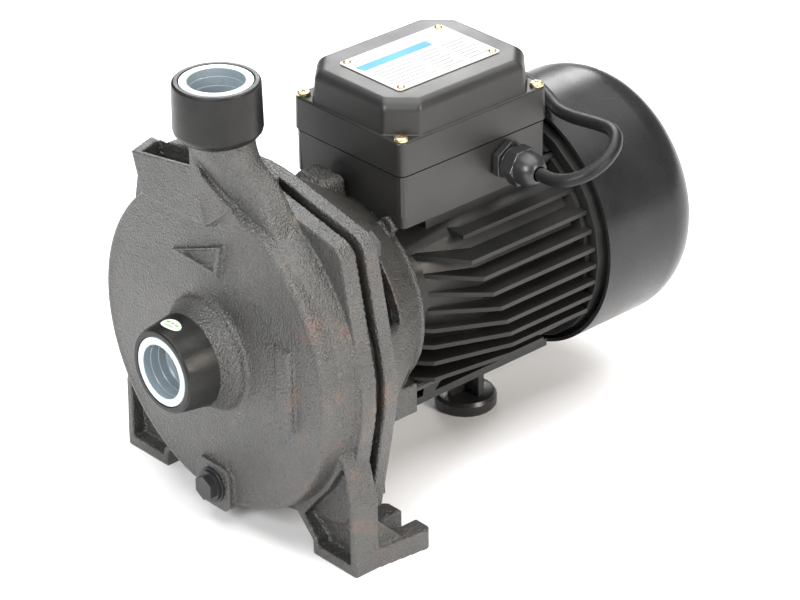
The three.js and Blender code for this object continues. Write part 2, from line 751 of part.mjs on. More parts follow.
place('motor_bracket', bracket, CAST_IRON);

const casingSeal = turned([
  [84.2, CASING_FLANGE_REAR + CLEARANCE],
  [87.4, CASING_FLANGE_REAR + CLEARANCE],
  [87.4, BRACKET_FRONT - CLEARANCE],
  [84.2, BRACKET_FRONT - CLEARANCE],
], ROUND);
place('casing_gasket', casingSeal, BLACK_RUBBER);

const flangeBolt = join(
  hexAlongY(13, 0, 0, CLEARANCE, 5.8),
  rodAlongY(3.2, 0, 0, THREAD_START + CLEARANCE - BRACKET_FLANGE_REAR, 1, FINE_ROUND),
);
boltSpots.forEach(([x, z], i) => {
  place(`casing_bolt_${i + 1}`, flangeBolt, DARK_STEEL, [x, BRACKET_FLANGE_REAR, z]);
});

// ---------- shaft, wheel and shaft seal ----------
const shaft = turned([
  [0, -3],
  [4, -3],
  [4, 5],
  [6, 5],
  [6, 42],
  [7, 44],
  [8.4, 46],
  [8.4, 99],
  [11, 100],
  [11, 188],
  [7.4, 189],
  [7.4, 205],
  [5.5, 206],
  [5.5, 236],
  [0, 236],
], SMALL_ROUND);
const keySeat = box(-1.8, 1.8, 6.5, 19, SHAFT_HEIGHT + 3.8, SHAFT_HEIGHT + 8);
place('motor_shaft', cut(shaft, keySeat), BRIGHT_STEEL);
const key = box(-1.5, 1.5, 6.9, 18.6, SHAFT_HEIGHT + 4.1, SHAFT_HEIGHT + 7.6);
place('impeller_key', key, BRIGHT_STEEL);

// Closed wheel: rear disc with hub, front disc with eye and six swept vanes.
const WHEEL_RADIUS = 74;
const VANE_COUNT = 6;
const VANE_SWEEP = 70;
const wheelRear = turned([
  [6.4, 5.6],
  [15, 5.6],
  [18, 10],
  [WHEEL_RADIUS, 10.6],
  [WHEEL_RADIUS, 12.6],
  [16, 13.4],
  [15.5, 19.5],
  [6.4, 19.5],
], ROUND);
const wheelFront = turned([
  [19, -3.2],
  [21.5, -3.2],
  [22.5, 1.2],
  [WHEEL_RADIUS, 4.2],
  [WHEEL_RADIUS, 6],
  [30, 4.4],
  [20.5, 3],
], ROUND);
const vanes = [];
for (let k = 0; k < VANE_COUNT; k += 1) {
  const leading = [];
  const trailing = [];
  for (let s = 0; s <= 3; s += 1) {
    const reach = 24 + (WHEEL_RADIUS - 24.6) * s / 3;
    const lean = 360 * k / VANE_COUNT - VANE_SWEEP * s / 3;
    leading.push(around(reach, lean));
    trailing.unshift(around(reach, lean + 160 / reach));
  }
  vanes.push(prism([...leading, ...trailing], 'y', 3.6, 11));
}
const hubSlot = box(-1.8, 1.8, 5, 20, SHAFT_HEIGHT + 5, SHAFT_HEIGHT + 7.9);
place('impeller', cut(join(wheelRear, wheelFront, ...vanes), hubSlot), YELLOW_METAL);
const nut = cut(
  hexAlongY(13, 0, SHAFT_HEIGHT, -1.6, 4.6),
  rodAlongY(4.3, 0, SHAFT_HEIGHT, -4, 6, SMALL_ROUND),
);
place('impeller_nut', nut, BRIGHT_STEEL);

// The fixed ceramic seat is pressed into the wall; the spring-loaded head turns.
const sealSeat = turned([
  [9.5, 20],
  [16.1, 20],
  [16.1, 24.6],
  [9.5, 24.6],
], SMALL_ROUND);
place('seal_seat', sealSeat, CERAMIC);
const sealHead = turned([
  [6.3, 24.9],
  [13, 24.9],
  [13, 28.6],
  [10.8, 29],
  [10.8, 31],
  [6.3, 31],
], SMALL_ROUND);
place('seal_rotating_head', sealHead, GRAPHITE);

const SPRING_RADIUS = 8.4;
const SPRING_TURNS = 3;
const springPoints = [];
for (let k = 0; k <= 8 * SPRING_TURNS; k += 1) {
  const [x, z] = around(SPRING_RADIUS, 45 * k);
  springPoints.push(new THREE.Vector3(x, 32.1 + 0.36 * k, z));
}
place('seal_spring', tube(new THREE.CatmullRomCurve3(springPoints), 0.75, 24, 5), BRIGHT_STEEL);
const slinger = turned([
  [8.7, 60],
  [12, 60],
  [20, 63],
  [20, 64.4],
  [12, 65.5],
  [8.7, 65.5],
], SMALL_ROUND);
place('water_slinger', slinger, BLACK_RUBBER);

function bearing(name, bore, outer, y0, y1) {
  const middle = (y0 + y1) / 2;
  const body = turned([
    [bore, y0],
    [bore + 2.6, y0],
    [bore + 3, middle - 3.2],
    [outer - 3, middle - 3.2],
    [outer - 2.6, y0],
    [outer, y0],
    [outer, y1],
    [bore, y1],
  ], SMALL_ROUND);
  place(name, body, BRIGHT_STEEL);
}
bearing('front_bearing', 8.7, BEARING_RADIUS, 85, 97);
bearing('rear_bearing', 7.7, 17.5, 190.5, 201.5);

// ---------- motor ----------
place('rotor_core', turned([[11.3, 126], [30, 126], [30, 186], [11.3, 186]], SMALL_ROUND), PALE_ALUMINIUM);
place('stator_core', turned([[30.6, 127], [50.4, 127], [50.4, 185], [30.6, 185]], ROUND), BRIGHT_STEEL);
const windingEnd = (y0, y1, outer) => turned([
  [33, y0 + 2],
  [35, y0],
  [outer - 2, y0],
  [outer, y0 + 2],
  [outer, y1],
  [33, y1],
], SMALL_ROUND);
place('winding_front', windingEnd(113, 126.6, 44), COPPER_WIRE);
place('winding_rear', windingEnd(185.4, 195, 48), COPPER_WIRE);

const frameShell = turned([
  [FRAME_NECK, FRAME_FRONT],
  [FRAME_NECK, 100],
  [FRAME_CORE, 124],
  [FRAME_CORE, FRAME_REAR - 5],
  [FRAME_CORE + 6, FRAME_REAR - 3],
  [FRAME_CORE + 6, FRAME_REAR],
  [0, FRAME_REAR],
  [0, FRAME_FRONT],
], ROUND);

// Half width of the fin tips at one height.
function finReach(z) {
  const drop = z - (SHAFT_HEIGHT - 4);
  return Math.sqrt(FIN_TIP_RADIUS ** 2 - drop ** 2);
}

function fin(i) {
  const z = FIN_TOP - FIN_PITCH * i;
  const rear = finReach(z);
  const front = 32.4 + 13.5 * Math.min(1, (i + 1) / 5);
  const bend = 114.8 + 4.6 * i;
  const end = i === FIN_COUNT - 1 ? 170 : FRAME_REAR;
  const half = [
    [front - 10, 90],
    [front, 99],
    [rear, bend],
    [rear, end],
  ];
  const outline = [...half, ...half.map(([x, y]) => [-x, y]).reverse()];
  return prism(outline, 'z', z - FIN_THICKNESS / 2, z + FIN_THICKNESS / 2);
}
const fins = [];
for (let i = 0; i < FIN_COUNT; i += 1) fins.push(fin(i));
const topFin = box(-48, 48, 118, FRAME_REAR, 133.6, 136);
const boxPad = box(-35, 35, 104, 178, 140, 154);
const rail = box(-RAIL_HALF_WIDTH, RAIL_HALF_WIDTH, 89, 191, RAIL_BOTTOM, RAIL_BOTTOM + 4.2);
const railWebs = [-20, 20].map((x) => box(x - 1.6, x + 1.6, 104, 190, RAIL_BOTTOM + 2, 52));
const motorBore = turned([
  [0, FRAME_FRONT - 1],
  [FRAME_NECK - FRAME_WALL, FRAME_FRONT - 1],
  [FRAME_NECK - FRAME_WALL, 100],
  [FRAME_CORE - FRAME_WALL, 124],
  [FRAME_CORE - FRAME_WALL, FRAME_REAR + 1],
  [0, FRAME_REAR + 1],
], ROUND);
const rodPaths = tieRodSpots.map(([x, z]) => rodAlongY(3.4, x, z, FRAME_FRONT - 1, FRAME_REAR + 1, 10));
const sideTabs = [-1, 1].map((side) => prism(
  [[101, 41], [108, 41], [115, 48], [111, 53.5], [103, 51.5]],
  'x',
  side * (RAIL_HALF_WIDTH - 1.5) - 1.5,
  side * (RAIL_HALF_WIDTH - 1.5) + 1.5,
));
const leadHole = rodAlongZ(8, 0, 120, 138, 160, FINE_ROUND);
const supportHole = rodAlongZ(2.6, 0, SUPPORT_Y, 30, RAIL_BOTTOM + 6, 10);
const frame = cut(
  join(frameShell, ...fins, topFin, boxPad, rail, ...railWebs, ...sideTabs),
  motorBore,
  ...rodPaths,
  leadHole,
  supportHole,
);
place('motor_frame', frame, SATIN_ALUMINIUM);

const shieldFront = FRAME_REAR + 0.4;
const SHIELD_RADIUS = 66;
const shieldDisc = turned([
  [17.8, 203],
  [17.8, 190.3],
  [22, 190.3],
  [24, shieldFront],
  [SHIELD_RADIUS, shieldFront],
  [SHIELD_RADIUS, 208],
  [SHIELD_RADIUS - 1.7, 208],
  [SHIELD_RADIUS - 1.7, 202],
  [30, 203.5],
  [26, 207],
  [8.6, 207],
  [8.6, 203],
], ROUND);
const shieldHoles = tieRodSpots.map(([x, z]) => rodAlongY(2.9, x, z, 196, 204, 10));
const coverScrewHoles = [1, -1].map((side) => {
  const top = SHAFT_HEIGHT + side * SHIELD_RADIUS;
  return rodAlongZ(2, 0, COVER_SCREW_Y, top - 4, top + 4, 10);
});
place('rear_end_shield', cut(shieldDisc, ...shieldHoles, ...coverScrewHoles), PALE_ALUMINIUM);
const waveWasher = turned([
  [9, 201.8],
  [17.3, 201.8],
  [17.3, 202.7],
  [9, 202.7],
], SMALL_ROUND);
place('bearing_wave_washer', waveWasher, BRIGHT_STEEL);

const tieRod = (start) => join(
  rodAlongY(2.4, 0, 0, start, 204.5, 10),
  hexAlongY(7, 0, 0, 203.9, 207.5),
);
const lowerTieRod = tieRod(75);
const upperTieRod = tieRod(UPPER_LUG_FRONT + 1.6);
tieRodSpots.forEach(([x, z], i) => {
  place(`tie_rod_${i + 1}`, i < lowerRods.length ? lowerTieRod : upperTieRod, DARK_STEEL, [x, 0, z]);
});

const BLADE_COUNT = 8;
const fanHub = turned([
  [5.8, 213],
  [12, 213],
  [12, 216],
  [40, 219],
  [40, 221],
  [12, 222],
  [12, 228],
  [5.8, 228],
], SMALL_ROUND);
const fanBlades = [];
for (let k = 0; k < BLADE_COUNT; k += 1) {
  const blade = new THREE.BoxGeometry(50, 20, 2);
  blade.translate(35, 223, 0);
  blade.rotateY(2 * Math.PI * k / BLADE_COUNT);
  blade.translate(0, 0, SHAFT_HEIGHT);
  fanBlades.push(toSolid(blade));
}
place('cooling_fan', join(fanHub, ...fanBlades), BLACK_PLASTIC);
const clip = turned([
  [5.8, 228.4],
  [8.5, 228.4],
  [8.5, 229.4],
  [5.8, 229.4],
], SMALL_ROUND);
place('fan_clip', clip, BRIGHT_STEEL);

const coverShell = turned([
  [COVER_RADIUS, COVER_FRONT],
  [COVER_RADIUS, 252],
  [COVER_RADIUS - 1.4, 258],
  [COVER_RADIUS - 4.6, 264.4],
  [COVER_RADIUS - 9, 269.4],
  [COVER_RADIUS - 13, 272],
  [COVER_RADIUS - 17.5, COVER_REAR],
  [0, COVER_REAR],
  [0, COVER_REAR - COVER_WALL],
  [COVER_RADIUS - 18, COVER_REAR - COVER_WALL],
  [COVER_RADIUS - 11, 268.4],
  [COVER_RADIUS - 6.4, 263.2],
  [COVER_RADIUS - COVER_WALL, 251],
  [COVER_RADIUS - COVER_WALL, COVER_FRONT],
], LARGE_ROUND);
const airSlots = [];
for (let k = -3; k <= 3; k += 1) {
  const rise = k * 12;
  const z = SHAFT_HEIGHT + rise;
  const half = Math.sqrt(48 ** 2 - rise ** 2);
  airSlots.push(box(-half, -2.5, COVER_REAR - 6, COVER_REAR + 1, z - 2.4, z + 2.4));
  airSlots.push(box(2.5, half, COVER_REAR - 6, COVER_REAR + 1, z - 2.4, z + 2.4));
}
const screwPassages = rodAlongZ(2.2, 0, COVER_SCREW_Y, SHAFT_HEIGHT - 80, SHAFT_HEIGHT + 80, 10);
place('fan_cover', cut(coverShell, ...airSlots, screwPassages), SATIN_ALUMINIUM);
const coverScrew = join(
  rodAlongZ(3.6, 0, 0, CLEARANCE, 2.4, FINE_ROUND),
  rodAlongZ(1.7, 0, 0, -7, 1, 8),
);
place('cover_screw_1', coverScrew, DARK_STEEL, [0, COVER_SCREW_Y, SHAFT_HEIGHT + COVER_RADIUS]);
const turnedScrew = join(
  rodAlongZ(3.6, 0, 0, -2.4, -CLEARANCE, FINE_ROUND),
  rodAlongZ(1.7, 0, 0, -1, 7, 8),
);
place('cover_screw_2', turnedScrew, DARK_STEEL, [0, COVER_SCREW_Y, SHAFT_HEIGHT - COVER_RADIUS]);

// ---------- terminal box ----------
// Ring round the box at one height, inset from its outer walls.
function boxRing(inset, radius, z) {
  const half = BOX_HALF_WIDTH - inset;
  return roundedRing(-half, half, BOX_FRONT + inset, BOX_REAR - inset, radius, z);
}
const boxOutside = stack([boxRing(1, 4, BOX_BOTTOM), boxRing(0, 4, LID_BOTTOM - 0.9)]);
const boxRoom = stack([boxRing(BOX_WALL, 3, 157.6), boxRing(BOX_WALL, 3, LID_BOTTOM + 2)]);
const boxUnder = stack([boxRing(BOX_WALL, 3, BOX_BOTTOM - 1), boxRing(BOX_WALL, 3, 154.4)]);
const saddle = turned([
  [0, 76],
  [coneRadius(78) + 0.8, 76],
  [CONE_REAR_RADIUS + 2, 82.2],
  [CONE_REAR_RADIUS + 2, BRACKET_REAR + 0.5],
  [CONE_REAR_RADIUS - 4, BRACKET_REAR + 0.5],
  [FRAME_CORE + 0.4, 122],
  [FRAME_CORE + 0.4, 198],
  [0, 198],
], ROUND);
const postSpots = [
  [-37.3, 86.2],
  [37.3, 86.2],
  [37.3, 179.8],
  [-37.3, 179.8],
];
const lugRoom = upperRods.map(
  ([x, z]) => rodAlongY(UPPER_LUG_RADIUS + 0.6, x, z, UPPER_LUG_FRONT - 1, BRACKET_REAR + 0.6, FINE_ROUND),
);
const rodRoom = upperRods.map(([x, z]) => rodAlongY(3.2, x, z, BOX_REAR - 5, FRAME_REAR, 10));
const posts = postSpots.map(([x, y]) => rodAlongZ(3.5, x, y, 155, LID_BOTTOM - 0.9, FINE_ROUND));
const pilotHoles = postSpots.map(([x, y]) => rodAlongZ(2.1, x, y, 164, LID_BOTTOM + 3, 8));
const glandHole = rodAlongX(6.6, GLAND_Y, GLAND_Z, BOX_HALF_WIDTH - 6, BOX_HALF_WIDTH + 2, SMALL_ROUND);
const boxLeadHole = rodAlongZ(8, 0, 120, 150, 160, FINE_ROUND);
const boxBase = cut(
  join(cut(boxOutside, boxRoom, boxUnder, saddle, ...lugRoom, ...rodRoom), ...posts),
  ...pilotHoles,
  glandHole,
  boxLeadHole,
);
place('terminal_box_base', boxBase, BLACK_PLASTIC);

const gasketOpening = (halfWidth, margin) => box(
  -halfWidth,
  halfWidth,
  BOX_FRONT + margin,
  BOX_REAR - margin,
  LID_BOTTOM - 2,
  LID_BOTTOM + 2,
);
const gasketHoles = postSpots.map(([x, y]) => rodAlongZ(2.4, x, y, LID_BOTTOM - 2, LID_BOTTOM + 2, 8));
const gasket = cut(
  stack([boxRing(0.4, 3.8, LID_BOTTOM - 0.6), boxRing(0.4, 3.8, LID_BOTTOM - 0.2)]),
  gasketOpening(29, 3),
  gasketOpening(BOX_HALF_WIDTH - 3, 12),
  ...gasketHoles,
);
place('terminal_box_gasket', gasket, BLACK_RUBBER);

// The lid has a ledge for the screws and a raised, round-edged middle whose
// four corners are cut off beside the screws.
const LID_OVERHANG = 0.8;
const lidSkirt = stack([
  boxRing(-LID_OVERHANG, 4.6, LID_BOTTOM),
  boxRing(-0.5, 4.4, LID_LEDGE - 0.8),
  boxRing(0.1, 3.9, LID_LEDGE),
]);

// Eight-sided ring: a rectangle with its corners cut off.
function cutCornerRing(inset, cutOff, z) {
  const x = BOX_HALF_WIDTH - LID_OVERHANG - inset;
  const y0 = BOX_FRONT + LID_OVERHANG + inset;
  const y1 = BOX_REAR - LID_OVERHANG - inset;
  return [
    [x, y0 + cutOff],
    [x, y1 - cutOff],
    [x - cutOff, y1],
    [-x + cutOff, y1],
    [-x, y1 - cutOff],
    [-x, y0 + cutOff],
    [-x + cutOff, y0],
    [x - cutOff, y0],
  ].map(([px, py]) => new THREE.Vector3(px, py, z));
}
const lidCrown = stack([
  cutCornerRing(0.2, 13.2, LID_LEDGE - 3),
  cutCornerRing(0.8, 13.2, LID_TOP - 6),
  cutCornerRing(1.8, 13, LID_TOP - 2.8),
  cutCornerRing(3.6, 12.4, LID_TOP - 0.7),
  cutCornerRing(5.6, 11.8, LID_TOP),
]);
const lidRoom = stack([
  cutCornerRing(3, 12.6, LID_BOTTOM - 1),
  cutCornerRing(3.6, 12.6, LID_TOP - 7),
  cutCornerRing(6.6, 11.6, LID_TOP - 2.6),
]);
const lidScrewHoles = postSpots.map(([x, y]) => rodAlongZ(2.5, x, y, LID_BOTTOM - 1, LID_LEDGE + 1, 8));
const rivetSpots = [
  [-20.5, 101.5],
  [20.5, 101.5],
  [20.5, 164.5],
  [-20.5, 164.5],
];
const rivetHoles = rivetSpots.map(([x, y]) => rodAlongZ(1.3, x, y, LID_TOP - 4, LID_TOP + 1, 8));
const lid = cut(join(lidSkirt, lidCrown), lidRoom, ...lidScrewHoles, ...rivetHoles);
place('terminal_box_lid', lid, BLACK_PLASTIC);

const lidScrew = join(
  rodAlongZ(3.6, 0, 0, 0.2, 2.2, FINE_ROUND),
  rodAlongZ(1.8, 0, 0, -31, 1, 8),
);
postSpots.forEach(([x, y], i) => place(`lid_screw_${i + 1}`, lidScrew, ZINC_YELLOW, [x, y, LID_LEDGE]));

const PLATE_HALF_WIDTH = 23.5;
const PLATE_FRONT = 98;
const PLATE_REAR = 168;
const plateHoles = rivetSpots.map(([x, y]) => rodAlongZ(1.4, x, y, LID_TOP - 1, LID_TOP + 2, 8));
const PLATE_CORNER = 1.5;
function plateRing(z) {
  return roundedRing(-PLATE_HALF_WIDTH, PLATE_HALF_WIDTH, PLATE_FRONT, PLATE_REAR, PLATE_CORNER, z, 1);
}
const plate = cut(stack([plateRing(LID_TOP + 0.1), plateRing(LID_TOP + 0.6)]), ...plateHoles);
place('nameplate', plate, PALE_ALUMINIUM);
const rivet = turnedUpright([
  [0, 1.6],
  [1.5, 1.3],
  [2.1, 0.75],
  [1.1, 0.75],
  [1.1, -2],
  [0, -2],
], 0, 0, 0, 8);
rivetSpots.forEach(([x, y], i) => place(`nameplate_rivet_${i + 1}`, rivet, YELLOW_METAL, [x, y, LID_TOP]));

const blockBody = box(-14, 14, 96, 110, 157.9, 168);
const blockSlots = [-9, -3, 3, 9].map((x) => box(x - 2.2, x + 2.2, 99, 111, 163, 169));
place('terminal_block', cut(blockBody, ...blockSlots), PALE_PLASTIC);
const CAPACITOR_RADIUS = 17;
const CAPACITOR_LENGTH = 56;
const capacitor = turnedAcross([
  [0, 0],
  [CAPACITOR_RADIUS - 1.5, 0],
  [CAPACITOR_RADIUS, 1.5],
  [CAPACITOR_RADIUS, CAPACITOR_LENGTH - 2],
  [CAPACITOR_RADIUS - 1.5, CAPACITOR_LENGTH],
  [0, CAPACITOR_LENGTH],
], 0, 0, 0, SMALL_ROUND);
place('run_capacitor', capacitor, PALE_PLASTIC, [-CAPACITOR_LENGTH / 2, 138, 182]);

// ---------- cable gland ----------
const glandBody = join(
  rodAlongX(6.2, 0, 0, -5.5, 2, SMALL_ROUND),
  rodAlongX(11.2, 0, 0, CLEARANCE, 4.6, 6),
  rodAlongX(8, 0, 0, 4, 6.2, SMALL_ROUND),
);
const cordBore = rodAlongX(CORD_RADIUS + 0.35, 0, 0, -11, 30, FINE_ROUND);
const glandSpot = [BOX_HALF_WIDTH, GLAND_Y, GLAND_Z];
place('cable_gland_body', cut(glandBody, cordBore), BLACK_PLASTIC, glandSpot);
const GLAND_NUT_END = 24.8;
const glandDome = turnedAcross([
  [5, 6.5],
  [9.4, 6.5],
  [9.4, 17.5],
  [8.8, 20.6],
  [7.4, 23.4],
  [5.4, 24.6],
  [CORD_RADIUS + 0.6, GLAND_NUT_END],
  [CORD_RADIUS + 0.6, 20],
  [5, 18],
], 0, 0, 0, SMALL_ROUND);
const glandHex = cut(
  rodAlongX(10.9, 0, 0, 7, 15, 6),
  rodAlongX(8, 0, 0, 6, 16, SMALL_ROUND),
);
const glandNut = join(glandDome, glandHex);
place('cable_gland_nut', glandNut, BLACK_PLASTIC, glandSpot);

// ---------- supply cord ----------
// The cord leaves the gland, bends back over the front of the fan cover, drops
// beside it to the floor and runs into a coil with the plug beside it.
const cordRoute = [
  [BOX_HALF_WIDTH + GLAND_NUT_END + CLEARANCE, GLAND_Y, GLAND_Z],
  [77.4, 155, 165.4],
  [87.3, 159.5, 168.4],
  [92.8, 168, 173],
  [92.5, 178.5, 177.5],
  [87, 188, 180],
  [78, 194.5, 180.2],
  [67, 197.5, 178.6],
  [55.9, 197.8, 177.2],
  [44.8, 197.8, 176],
  [34, 200, 174.9],
  [24, 204.5, 174.2],
  [13, 209.5, 174.2],
  [0, 213.5, 174.5],
  [-20, 217, 171.8],
  [-40, 219, 163],
  [-58, 219.5, 147.2],
  [-70, 219, 126.4],
  [-75.2, 218, 104],
  [-76.5, 215, 84],
  [-77.5, 209, 58],
  [-79.5, 199, 33],
  [-79, 185.5, 14],
  [-75.5, 171, 5.4],
  [-70.5, 157, CORD_FLOOR + 0.1],
  [COIL_X + COIL_RADIUS, COIL_Y + 26, CORD_FLOOR],
].map((point) => new THREE.Vector3(...point));
place('supply_cord_lead', tube(new THREE.CatmullRomCurve3(cordRoute), CORD_RADIUS, 34, 10), CORD_BLACK);

const coilInside = COIL_RADIUS - CORD_RADIUS;
const coilOutside = COIL_RADIUS + CORD_RADIUS;
const coilTop = CORD_FLOOR + COIL_RISE * (COIL_LEVELS - 1) + CORD_RADIUS;
const coil = turnedUpright([
  [coilInside, 0],
  [coilOutside, 0],
  [coilOutside, coilTop],
  [coilInside, coilTop],
], 0, 0, 0, ROUND);
place('supply_cord_coil', coil, CORD_BLACK, [COIL_X, COIL_Y, 0]);

const tailStart = COIL_Y + 26;
const tailX = COIL_X - COIL_RADIUS;
const tailHeight = CORD_FLOOR + COIL_RISE * (COIL_LEVELS - 1);
const cordTail = [
  [tailX, tailStart, tailHeight - 3],
  [tailX, tailStart + 4, tailHeight - 4.6],
  [tailX, PLUG_START - 5, PLUG_RADIUS + 0.1],
  [tailX, PLUG_START - CLEARANCE, PLUG_RADIUS],
].map((point) => new THREE.Vector3(...point));
place('supply_cord_tail', tube(new THREE.CatmullRomCurve3(cordTail), CORD_RADIUS, 3, 10), CORD_BLACK);

// Moulded round plug with a tapered sleeve and two pins.
const plugTurn = (profile, sides) => {
  const loop = [...profile, profile[0]].map(([r, y]) => new THREE.Vector2(r, y));
  return toSolid(new THREE.LatheGeometry(loop, sides));
};
const plugBody = plugTurn([
  [0, 0],
  [CORD_RADIUS + 1.2, 0],
  [7, 24],
  [13, 28],
  [PLUG_RADIUS, 34],
  [PLUG_RADIUS, 58],
  [0, 58],
], SMALL_ROUND);
const plugPins = [-9.5, 9.5].map((x) => rodAlongY(2.4, x, 0, 56, 77, FINE_ROUND));
place('mains_plug', join(plugBody, ...plugPins), CORD_BLACK, [tailX, PLUG_START, PLUG_RADIUS]);

// ---------- support foot under the motor ----------
const footBase = turnedUpright([
  [0, 2],
  [13, 2],
  [13, 0],
  [16.2, 0],
  [17, 1.2],
  [17, 6],
  [15.8, 8],
  [12, 9],
  [0, 9],
], 0, 0, 0, ROUND);
const footRibs = [0, Math.PI / 2].map((turn) => {
  const rib = new THREE.BoxGeometry(24, 3.2, 29);
  rib.rotateZ(turn);
  rib.translate(0, 0, 22.5);
  return toSolid(rib);
});
const footTop = rodAlongZ(13, 0, 0, 35, RAIL_BOTTOM - CLEARANCE, SMALL_ROUND);
const footScrewHole = rodAlongZ(2.5, 0, 0, 20, 45, 10);
const supportFoot = cut(join(footBase, ...footRibs, footTop), footScrewHole);
place('motor_support_foot', supportFoot, BLACK_PLASTIC, [0, SUPPORT_Y, 0]);
const footScrew = join(
  rodAlongZ(2.2, 0, 0, -14, 5, 10),
  rodAlongZ(4.2, 0, 0, 4.4, 6.3, 6),
);
place('support_foot_screw', footScrew, ZINC_YELLOW, [0, SUPPORT_Y, RAIL_BOTTOM]);

export default pump;
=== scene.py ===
"""Close-coupled centrifugal water pump: surfaces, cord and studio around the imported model."""

import json
import math

import bmesh
import bpy
from mathutils import Matrix, Vector

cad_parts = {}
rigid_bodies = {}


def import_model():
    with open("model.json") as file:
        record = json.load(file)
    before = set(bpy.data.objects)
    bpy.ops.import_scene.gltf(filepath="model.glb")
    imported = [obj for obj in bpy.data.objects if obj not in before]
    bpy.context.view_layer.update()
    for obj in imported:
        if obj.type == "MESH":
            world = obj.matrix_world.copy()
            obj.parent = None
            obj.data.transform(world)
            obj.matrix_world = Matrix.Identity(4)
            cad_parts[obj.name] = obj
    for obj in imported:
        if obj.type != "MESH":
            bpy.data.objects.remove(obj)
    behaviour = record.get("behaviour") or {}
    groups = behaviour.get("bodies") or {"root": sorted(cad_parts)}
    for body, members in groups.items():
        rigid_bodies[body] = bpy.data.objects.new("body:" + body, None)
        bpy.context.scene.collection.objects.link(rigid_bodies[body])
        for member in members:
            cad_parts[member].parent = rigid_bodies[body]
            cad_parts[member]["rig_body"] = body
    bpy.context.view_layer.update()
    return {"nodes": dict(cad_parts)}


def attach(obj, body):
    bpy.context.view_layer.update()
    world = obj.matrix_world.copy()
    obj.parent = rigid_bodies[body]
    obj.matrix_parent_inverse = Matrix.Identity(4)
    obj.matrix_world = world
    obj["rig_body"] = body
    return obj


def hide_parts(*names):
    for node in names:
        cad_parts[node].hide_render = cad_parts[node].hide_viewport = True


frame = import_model()
nodes = frame["nodes"]

# ---------- driving dimensions, in millimetres ----------
# Every length is measured with the discharge axis at y = 0, as in the CAD model,
# and at() moves it into the row frame.
MM = 0.001
CENTRE_SHIFT = -115.0
SHAFT_HEIGHT = 99.3
PORT_BORE = 15.6
SUCTION_FACE = -43.0
SUCTION_BOSS_RADIUS = 22.5
DISCHARGE_TOP = 245.5
DISCHARGE_BOSS_RADIUS = 22.1
DISCHARGE_BOSS_BOTTOM = 215.5
CASING_RADIUS = 89.8
CASING_FACE = -9.5
CASING_FLANGE = (9.5, 19.0)
BRACKET_FLANGE = (24.5, 33.0)
FLANGE_RADIUS = 92.0
LOBE_RADIUS = 10.0
LOBE_CENTRE = 98.0
LOBE_ANGLES = (45, 135, 225, 315)
CHANNEL_RADIUS = 87.0
CHANNEL_START = -80.0
CAP_SEAT_DEPTH = 1.2
CAP_RIM_RADIUS = 18.5
CAP_DEPTH = 15.6
CAP_HOLLOW = 14.4
COVER_RADIUS = 70.8
COVER_FRONT = 201.7
COVER_REAR = 273.0
COVER_WALL = 2.0
BOX_HALF_WIDTH = 41.0
BOX_FRONT = 82.5
BOX_REAR = 183.5
LID_BOTTOM = 178.6
LID_LEDGE = 197.0
LID_TOP = 215.0
GLAND_Y = 154.5
GLAND_Z = 165.0
LID_SCREWS = ((-37.3, 86.2), (37.3, 86.2), (37.3, 179.8), (-37.3, 179.8))
PLATE_RIVETS = ((-20.5, 101.5), (20.5, 101.5), (20.5, 164.5), (-20.5, 164.5))
CORD_RADIUS = 3.6
CORD_FLOOR = CORD_RADIUS + 0.2
COIL_X = -109.0
COIL_Y = 118.0
COIL_RADIUS = 43.2
COIL_RISE = 7.35
COIL_TURNS = 3.5
PLUG_RADIUS = 20.0
PLUG_START = COIL_Y + 40.0


def at(x, y, z):
    """A point in the row frame, in metres."""
    return Vector((x, y + CENTRE_SHIFT, z)) * MM


# ---------- camera ----------
def make_camera():
    azimuth, elevation, roll = math.radians(48.5), math.radians(28.4), math.radians(-1.0)
    target = at(56.7, 66.4, 121.5)
    distance = 1.7957
    back = Vector((
        math.sin(azimuth) * math.cos(elevation),
        -math.cos(azimuth) * math.cos(elevation),
        math.sin(elevation),
    ))
    level = (-back).cross(Vector((0, 0, 1))).normalized()
    upright = level.cross(-back)
    right = math.cos(roll) * level + math.sin(roll) * upright
    up = back.cross(right)
    data = bpy.data.cameras.new("camera")
    data.sensor_width = 36.0
    data.lens = 161.1
    data.clip_end = 20.0
    camera = bpy.data.objects.new("camera", data)
    camera.matrix_world = Matrix.Translation(target + back * distance) @ Matrix(
        (right, up, back)
    ).transposed().to_4x4()
    bpy.context.scene.collection.objects.link(camera)
    bpy.context.scene.camera = camera


make_camera()


# ---------- materials ----------
def new_material(name, colour, roughness, metallic=0.0, **sockets):
    """A Principled material; other sockets go by their names with underscores for spaces."""
    material = bpy.data.materials.new(name)
    material.use_nodes = True
    shader = material.node_tree.nodes["Principled BSDF"]
    shader.inputs["Base Color"].default_value = (*colour, 1.0)
    shader.inputs["Roughness"].default_value = roughness
    shader.inputs["Metallic"].default_value = metallic
    for socket, value in sockets.items():
        shader.inputs[socket.replace("_", " ")].default_value = value
    return material


def add_node(material, kind, **settings):
    node = material.node_tree.nodes.new(kind)
    for name, value in settings.items():
        if name in node.inputs:
            node.inputs[name].default_value = value
        else:
            setattr(node, name, value)
    return node


def noise(material, scale, detail=3.0, stretch=None):
    """Noise with its size set in features per metre; stretch scales the three axes."""
    links = material.node_tree.links
    place = add_node(material, "ShaderNodeTexCoord")
    texture = add_node(material, "ShaderNodeTexNoise", Scale=scale, Detail=detail)
    if stretch is None:
        links.new(place.outputs["Object"], texture.inputs["Vector"])
    else:
        mapping = add_node(material, "ShaderNodeMapping", Scale=stretch)
        links.new(place.outputs["Object"], mapping.inputs["Vector"])
        links.new(mapping.outputs["Vector"], texture.inputs["Vector"])
    return texture


